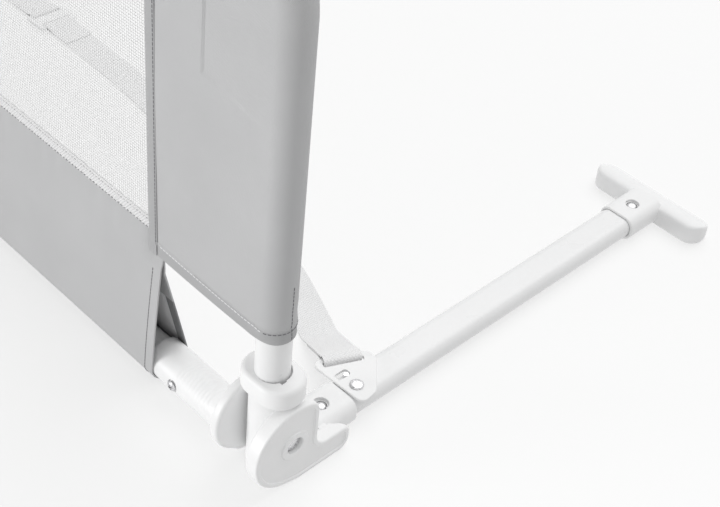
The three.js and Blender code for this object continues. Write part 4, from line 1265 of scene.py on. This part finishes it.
PLATE_CORNERS = [on_plate(*share) for share in PLATE_SHARES]
ALONG = Vector((-math.cos(STRAP_TURN), math.sin(STRAP_TURN)))
ACROSS = Vector((math.sin(STRAP_TURN), math.cos(STRAP_TURN)))
BAR = PLATE_CORNERS[0].lerp(PLATE_CORNERS[-1], 0.54) - ALONG * 2


def along_strap(outline):
    """Lays an outline drawn along the strap, with x pointing away from the arm, on the plate."""
    return [BAR + ALONG * p[0] - ACROSS * p[1] for p in outline]


def strap_plate():
    body = extruded(rounded([(*corner, 6) for corner in PLATE_CORNERS]), PLATE_LOW, PLATE_TOP, "Z", 0.9)
    strap_slot = along_strap(rounded_box(-7.2, -16.4, -2.2, 16.4, 1.7))
    stud_slot = rounded_box(-14.2, 76.0, -7.4, 88.6, 2.8)
    return cut(body, extruded(strap_slot, 18, 26), extruded(stud_slot, 18, 26),
               rod("Z", (*RIVET, 0), 2.5, 18, 26))


hard_pair(strap_plate(), "strap_plate", plastic, "moulded_plastic")
slider_low, slider_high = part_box("strap_slider")
SLIDER_V = ((slider_low.y + slider_high.y) / 2 - POST.y) / MM
slider = extruded(rounded_box(-14, SLIDER_V - 21, 14, SLIDER_V + 21, 3), 1.8, 4.2, "Z", 0.9)
for x in (-8.2, 8.2):
    cut(slider, extruded(rounded_box(x - 1.8, SLIDER_V - 16, x + 1.8, SLIDER_V + 16, 1.6), 0, 8))
smooth(slider)
in_middle(slider, "middle_slider", plastic, "moulded_plastic", "strap_slider")
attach(slider, "root")
print("plate corners", [tuple(round(c, 1) for c in corner) for corner in PLATE_CORNERS])

# %% [markdown]
# ## Webbing strap
# The strap is one ribbon. Its line is drawn in two coordinates, along the strap and up, with the turns round
# the two bars rounded off, and it is then laid out in plan, where it curves round towards the slider.

# %% Webbing strap
PLY = 1.2
GAP = 0.3
RAMP = 48.0
SEWN = 35.0
STRAP_HALF = 15
STRAIGHT = 47
CURVE_START = BAR + ALONG * RAMP
CURVE_RADIUS = (CURVE_START.x + RAIL_END - STRAIGHT) / math.sin(STRAP_TURN)
CURVE_CENTRE = CURVE_START - ACROSS * CURVE_RADIUS


def strap_place(s, aside):
    """The place in plan of a point at a distance along the strap and aside of its middle."""
    on_curve = min(max(s - RAMP, 0), CURVE_RADIUS * STRAP_TURN)
    angle = STRAP_TURN - on_curve / CURVE_RADIUS
    out = Vector((math.sin(angle), math.cos(angle)))
    return CURVE_CENTRE + out * (CURVE_RADIUS + aside) + Vector((-out.y, out.x)) * (s - RAMP - on_curve)


def strap_line():
    """The strap from the side, in (along, up): sewn end, loop at the plate, long run, loop at the slider."""
    lift = GAP + PLY / 2
    reach = 2 + lift
    top = PLATE_TOP + lift
    slope = (top - lift) / (RAMP - reach)

    def under(s):
        return top - slope * (s - reach) - (PLY + GAP) * math.hypot(1, slope)

    bar = RAMP + CURVE_RADIUS * STRAP_TURN + SEWN
    over = lift + PLY + GAP
    low, loop, slider_top = PLATE_LOW - lift, top + 1.6, 3 * lift + 2.4
    corners = [(SEWN, under(SEWN), 0), (12, under(12), 3), (reach, low, 1.2), (-reach - 1.4, low, 2),
               (-reach - 1.4, loop, 2.6), (reach + 0.4, loop, 2.6), (reach + 3, top - 1.6, 5),
               (RAMP, lift, 22), (bar + reach, lift, 1.2), (bar + reach, slider_top, 1.2),
               (bar - reach, slider_top, 2), (bar - 12, over, 4), (bar - SEWN, over, 0)]
    line = []
    for i, (s, z, radius) in enumerate(corners):
        if radius:
            line += corner_points(corners[i - 1], (s, z, radius), corners[i + 1])
        else:
            line.append(Vector((s, z)))
    return line


def corner_points(before, corner, after):
    """Rounds off one corner of the strap's line, given with its neighbours as (along, up, radius)."""
    here = Vector(corner[:2])
    to_before = Vector(before[:2]) - here
    to_after = Vector(after[:2]) - here
    half = math.acos(max(-1, min(1, to_before.normalized().dot(to_after.normalized())))) / 2
    reach = min(corner[2] / math.tan(half), 0.48 * to_before.length, 0.48 * to_after.length)
    start = here + to_before.normalized() * reach
    end = here + to_after.normalized() * reach
    return [start.lerp(here, t).lerp(here.lerp(end, t), t) for t in spread(0, 1, 7)]


def strap_steps():
    """Each point of the strap's line with its distance along it, and more points on the long stretches."""
    corners = strap_line()
    line = []
    for before, after in zip(corners, corners[1:]):
        count = max(1, int((after - before).length / 4))
        line += [before.lerp(after, i / count) for i in range(count)]
    line.append(corners[-1])
    return zip(line, walk([(p.x, p.y, 0) for p in line]))


def strap_row(step):
    (s, z), along = step
    points = []
    for aside in spread(-STRAP_HALF, STRAP_HALF, 13):
        wave = 0.25 * math.sin(s / 31 + aside / 9) * ease((s - RAMP) / 30) * ease((RAMP + 400 - s) / 60)
        points.append((*strap_place(s, aside), z + abs(wave)))
    return points, [(aside, along) for aside in spread(-STRAP_HALF, STRAP_HALF, 13)]


ribbon = sewn_sheet(cloth_grid("strap", strap_steps(), strap_row), PLY)
pair(ribbon, "webbing_strap", webbing, "white_webbing", replaced="strap")
print("strap faces", len(ribbon.data.polygons))

# %% [markdown]
# ## Metal
# The snap buttons are domed caps on leaf springs. The rivet has a wide low head, and the screw of the rail
# sleeve has a pan head with a cross recess.

# %% Buttons and their leaf springs
BUTTON = 4.5
CAP_BASE, CAP_HEIGHT = 19.9, 2.1
FLANGE, FLANGE_LOW, FLANGE_TOP = 6.4, 17.82, 18.78
LEAF, LEAF_HALF = 0.7, 4
SPRING_FLOOR, SPRING_TOP = 4.8, 17.5
SPRING_REACH = 26


def dome(radius, base, height, steps=10):
    """A profile of (radius, height) over a rounded top, from its rim to the axis."""
    curve = [(radius * math.cos(a), base + height * math.sin(a)) for a in spread(0, math.pi / 2, steps)]
    return [*curve[:-1], (0, base + height)]


def snap_button(place):
    flange = [(0, FLANGE_LOW), (FLANGE, FLANGE_LOW), (FLANGE, FLANGE_TOP), (BUTTON, FLANGE_TOP)]
    return turned([*flange, *dome(BUTTON, CAP_BASE, CAP_HEIGHT)], "Z", (0, place, 0), 48)


def leaf_spring(place, towards):
    near, far = place - towards * 4.7, place + towards * SPRING_REACH
    bend = far - towards * 3 * LEAF
    outline = [(near, SPRING_TOP), (far, SPRING_FLOOR), (near, SPRING_FLOOR), (near, SPRING_FLOOR + LEAF),
               (bend, SPRING_FLOOR + LEAF), (near, SPRING_TOP - LEAF)]
    return extruded(outline, -LEAF_HALF, LEAF_HALF, "X")


for name, place, towards in (("base_button", BASE_BUTTON_V, 1), ("foot_button", FOOT_BUTTON_V, -1)):
    hard_pair(snap_button(place), name, steel, "bright_steel", f"{name}_SIDE")
    leaves = pair(leaf_spring(place, towards), f"{name}_leaf", steel, "bright_steel", None, f"{name}_spring")
    for side, leaf in leaves.items():
        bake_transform(leaf)
print("buttons at", BASE_BUTTON_V, "and", FOOT_BUTTON_V)

# %% Rivet, stud, pin and screw
def strap_rivet():
    shank = [(0, -5), (2.2, -5), (2.2, 0), (5.5, 0), (5.5, 0.3)]
    return turned([*shank, *dome(5.2, 0.3, 1.5)[1:]], "Z", (*RIVET, PLATE_TOP + GAP), 48)


def strap_stud():
    profile = [(0, 17.7), (2.1, 17.7), (2.5, 18), (2.5, 22.2), (2.1, 22.8), (0, 22.9)]
    return turned(profile, "Z", (*on_plate(-0.26, 0.05), 0), 32)


def pivot_pin():
    shank = [(0, -24), (4, -24), (4, 23.2), (6.4, 23.2)]
    return turned([*shank, *dome(6.4, 24.4, 0.9)], "X", PIVOT, 48)


def rail_screw():
    front = RAIL_V - RAIL_SLEEVE - 0.4
    head = [(radius, -height) for radius, height in dome(4.3, 0, 1.7)]
    screw = turned([(0, 9), (2, 9), (2, 0), *head], "Y", (SCREW_U, front, RAIL_Z), 48)
    centre = Vector((SCREW_U, RAIL_Z))
    for turn in (0.4, 0.4 + math.pi / 2):
        step = Vector((math.cos(turn), math.sin(turn)))
        side = Vector((-step.y, step.x)) * 0.55
        blade = [centre + step * a + side * b for a, b in ((2.4, 1), (-2.4, 1), (-2.4, -1), (2.4, -1))]
        cut(screw, extruded(blade, front - 3, front - 0.4, "Y"))
    return screw


for name, draw in (("strap_rivet", strap_rivet), ("strap_stud", strap_stud), ("pivot_pin", pivot_pin),
                   ("rail_screw", rail_screw)):
    hard_pair(draw(), name, steel, "bright_steel")
print("metal pieces ready")

# %% Finishes of the model's own parts
by_slot = {"moulded_plastic": plastic, "powder_coated_tube": paint, "bright_steel": steel,
           "grey_cloth": grey_cloth, "white_net": net, "white_webbing": webbing}
slot_of = {part["node"]: part["material_slot"] for part in frame["record"]["subparts"]}
for name, part in nodes.items():
    part.data.materials.clear()
    part.data.materials.append(by_slot[slot_of[name]])
print("finished nodes", len(nodes))
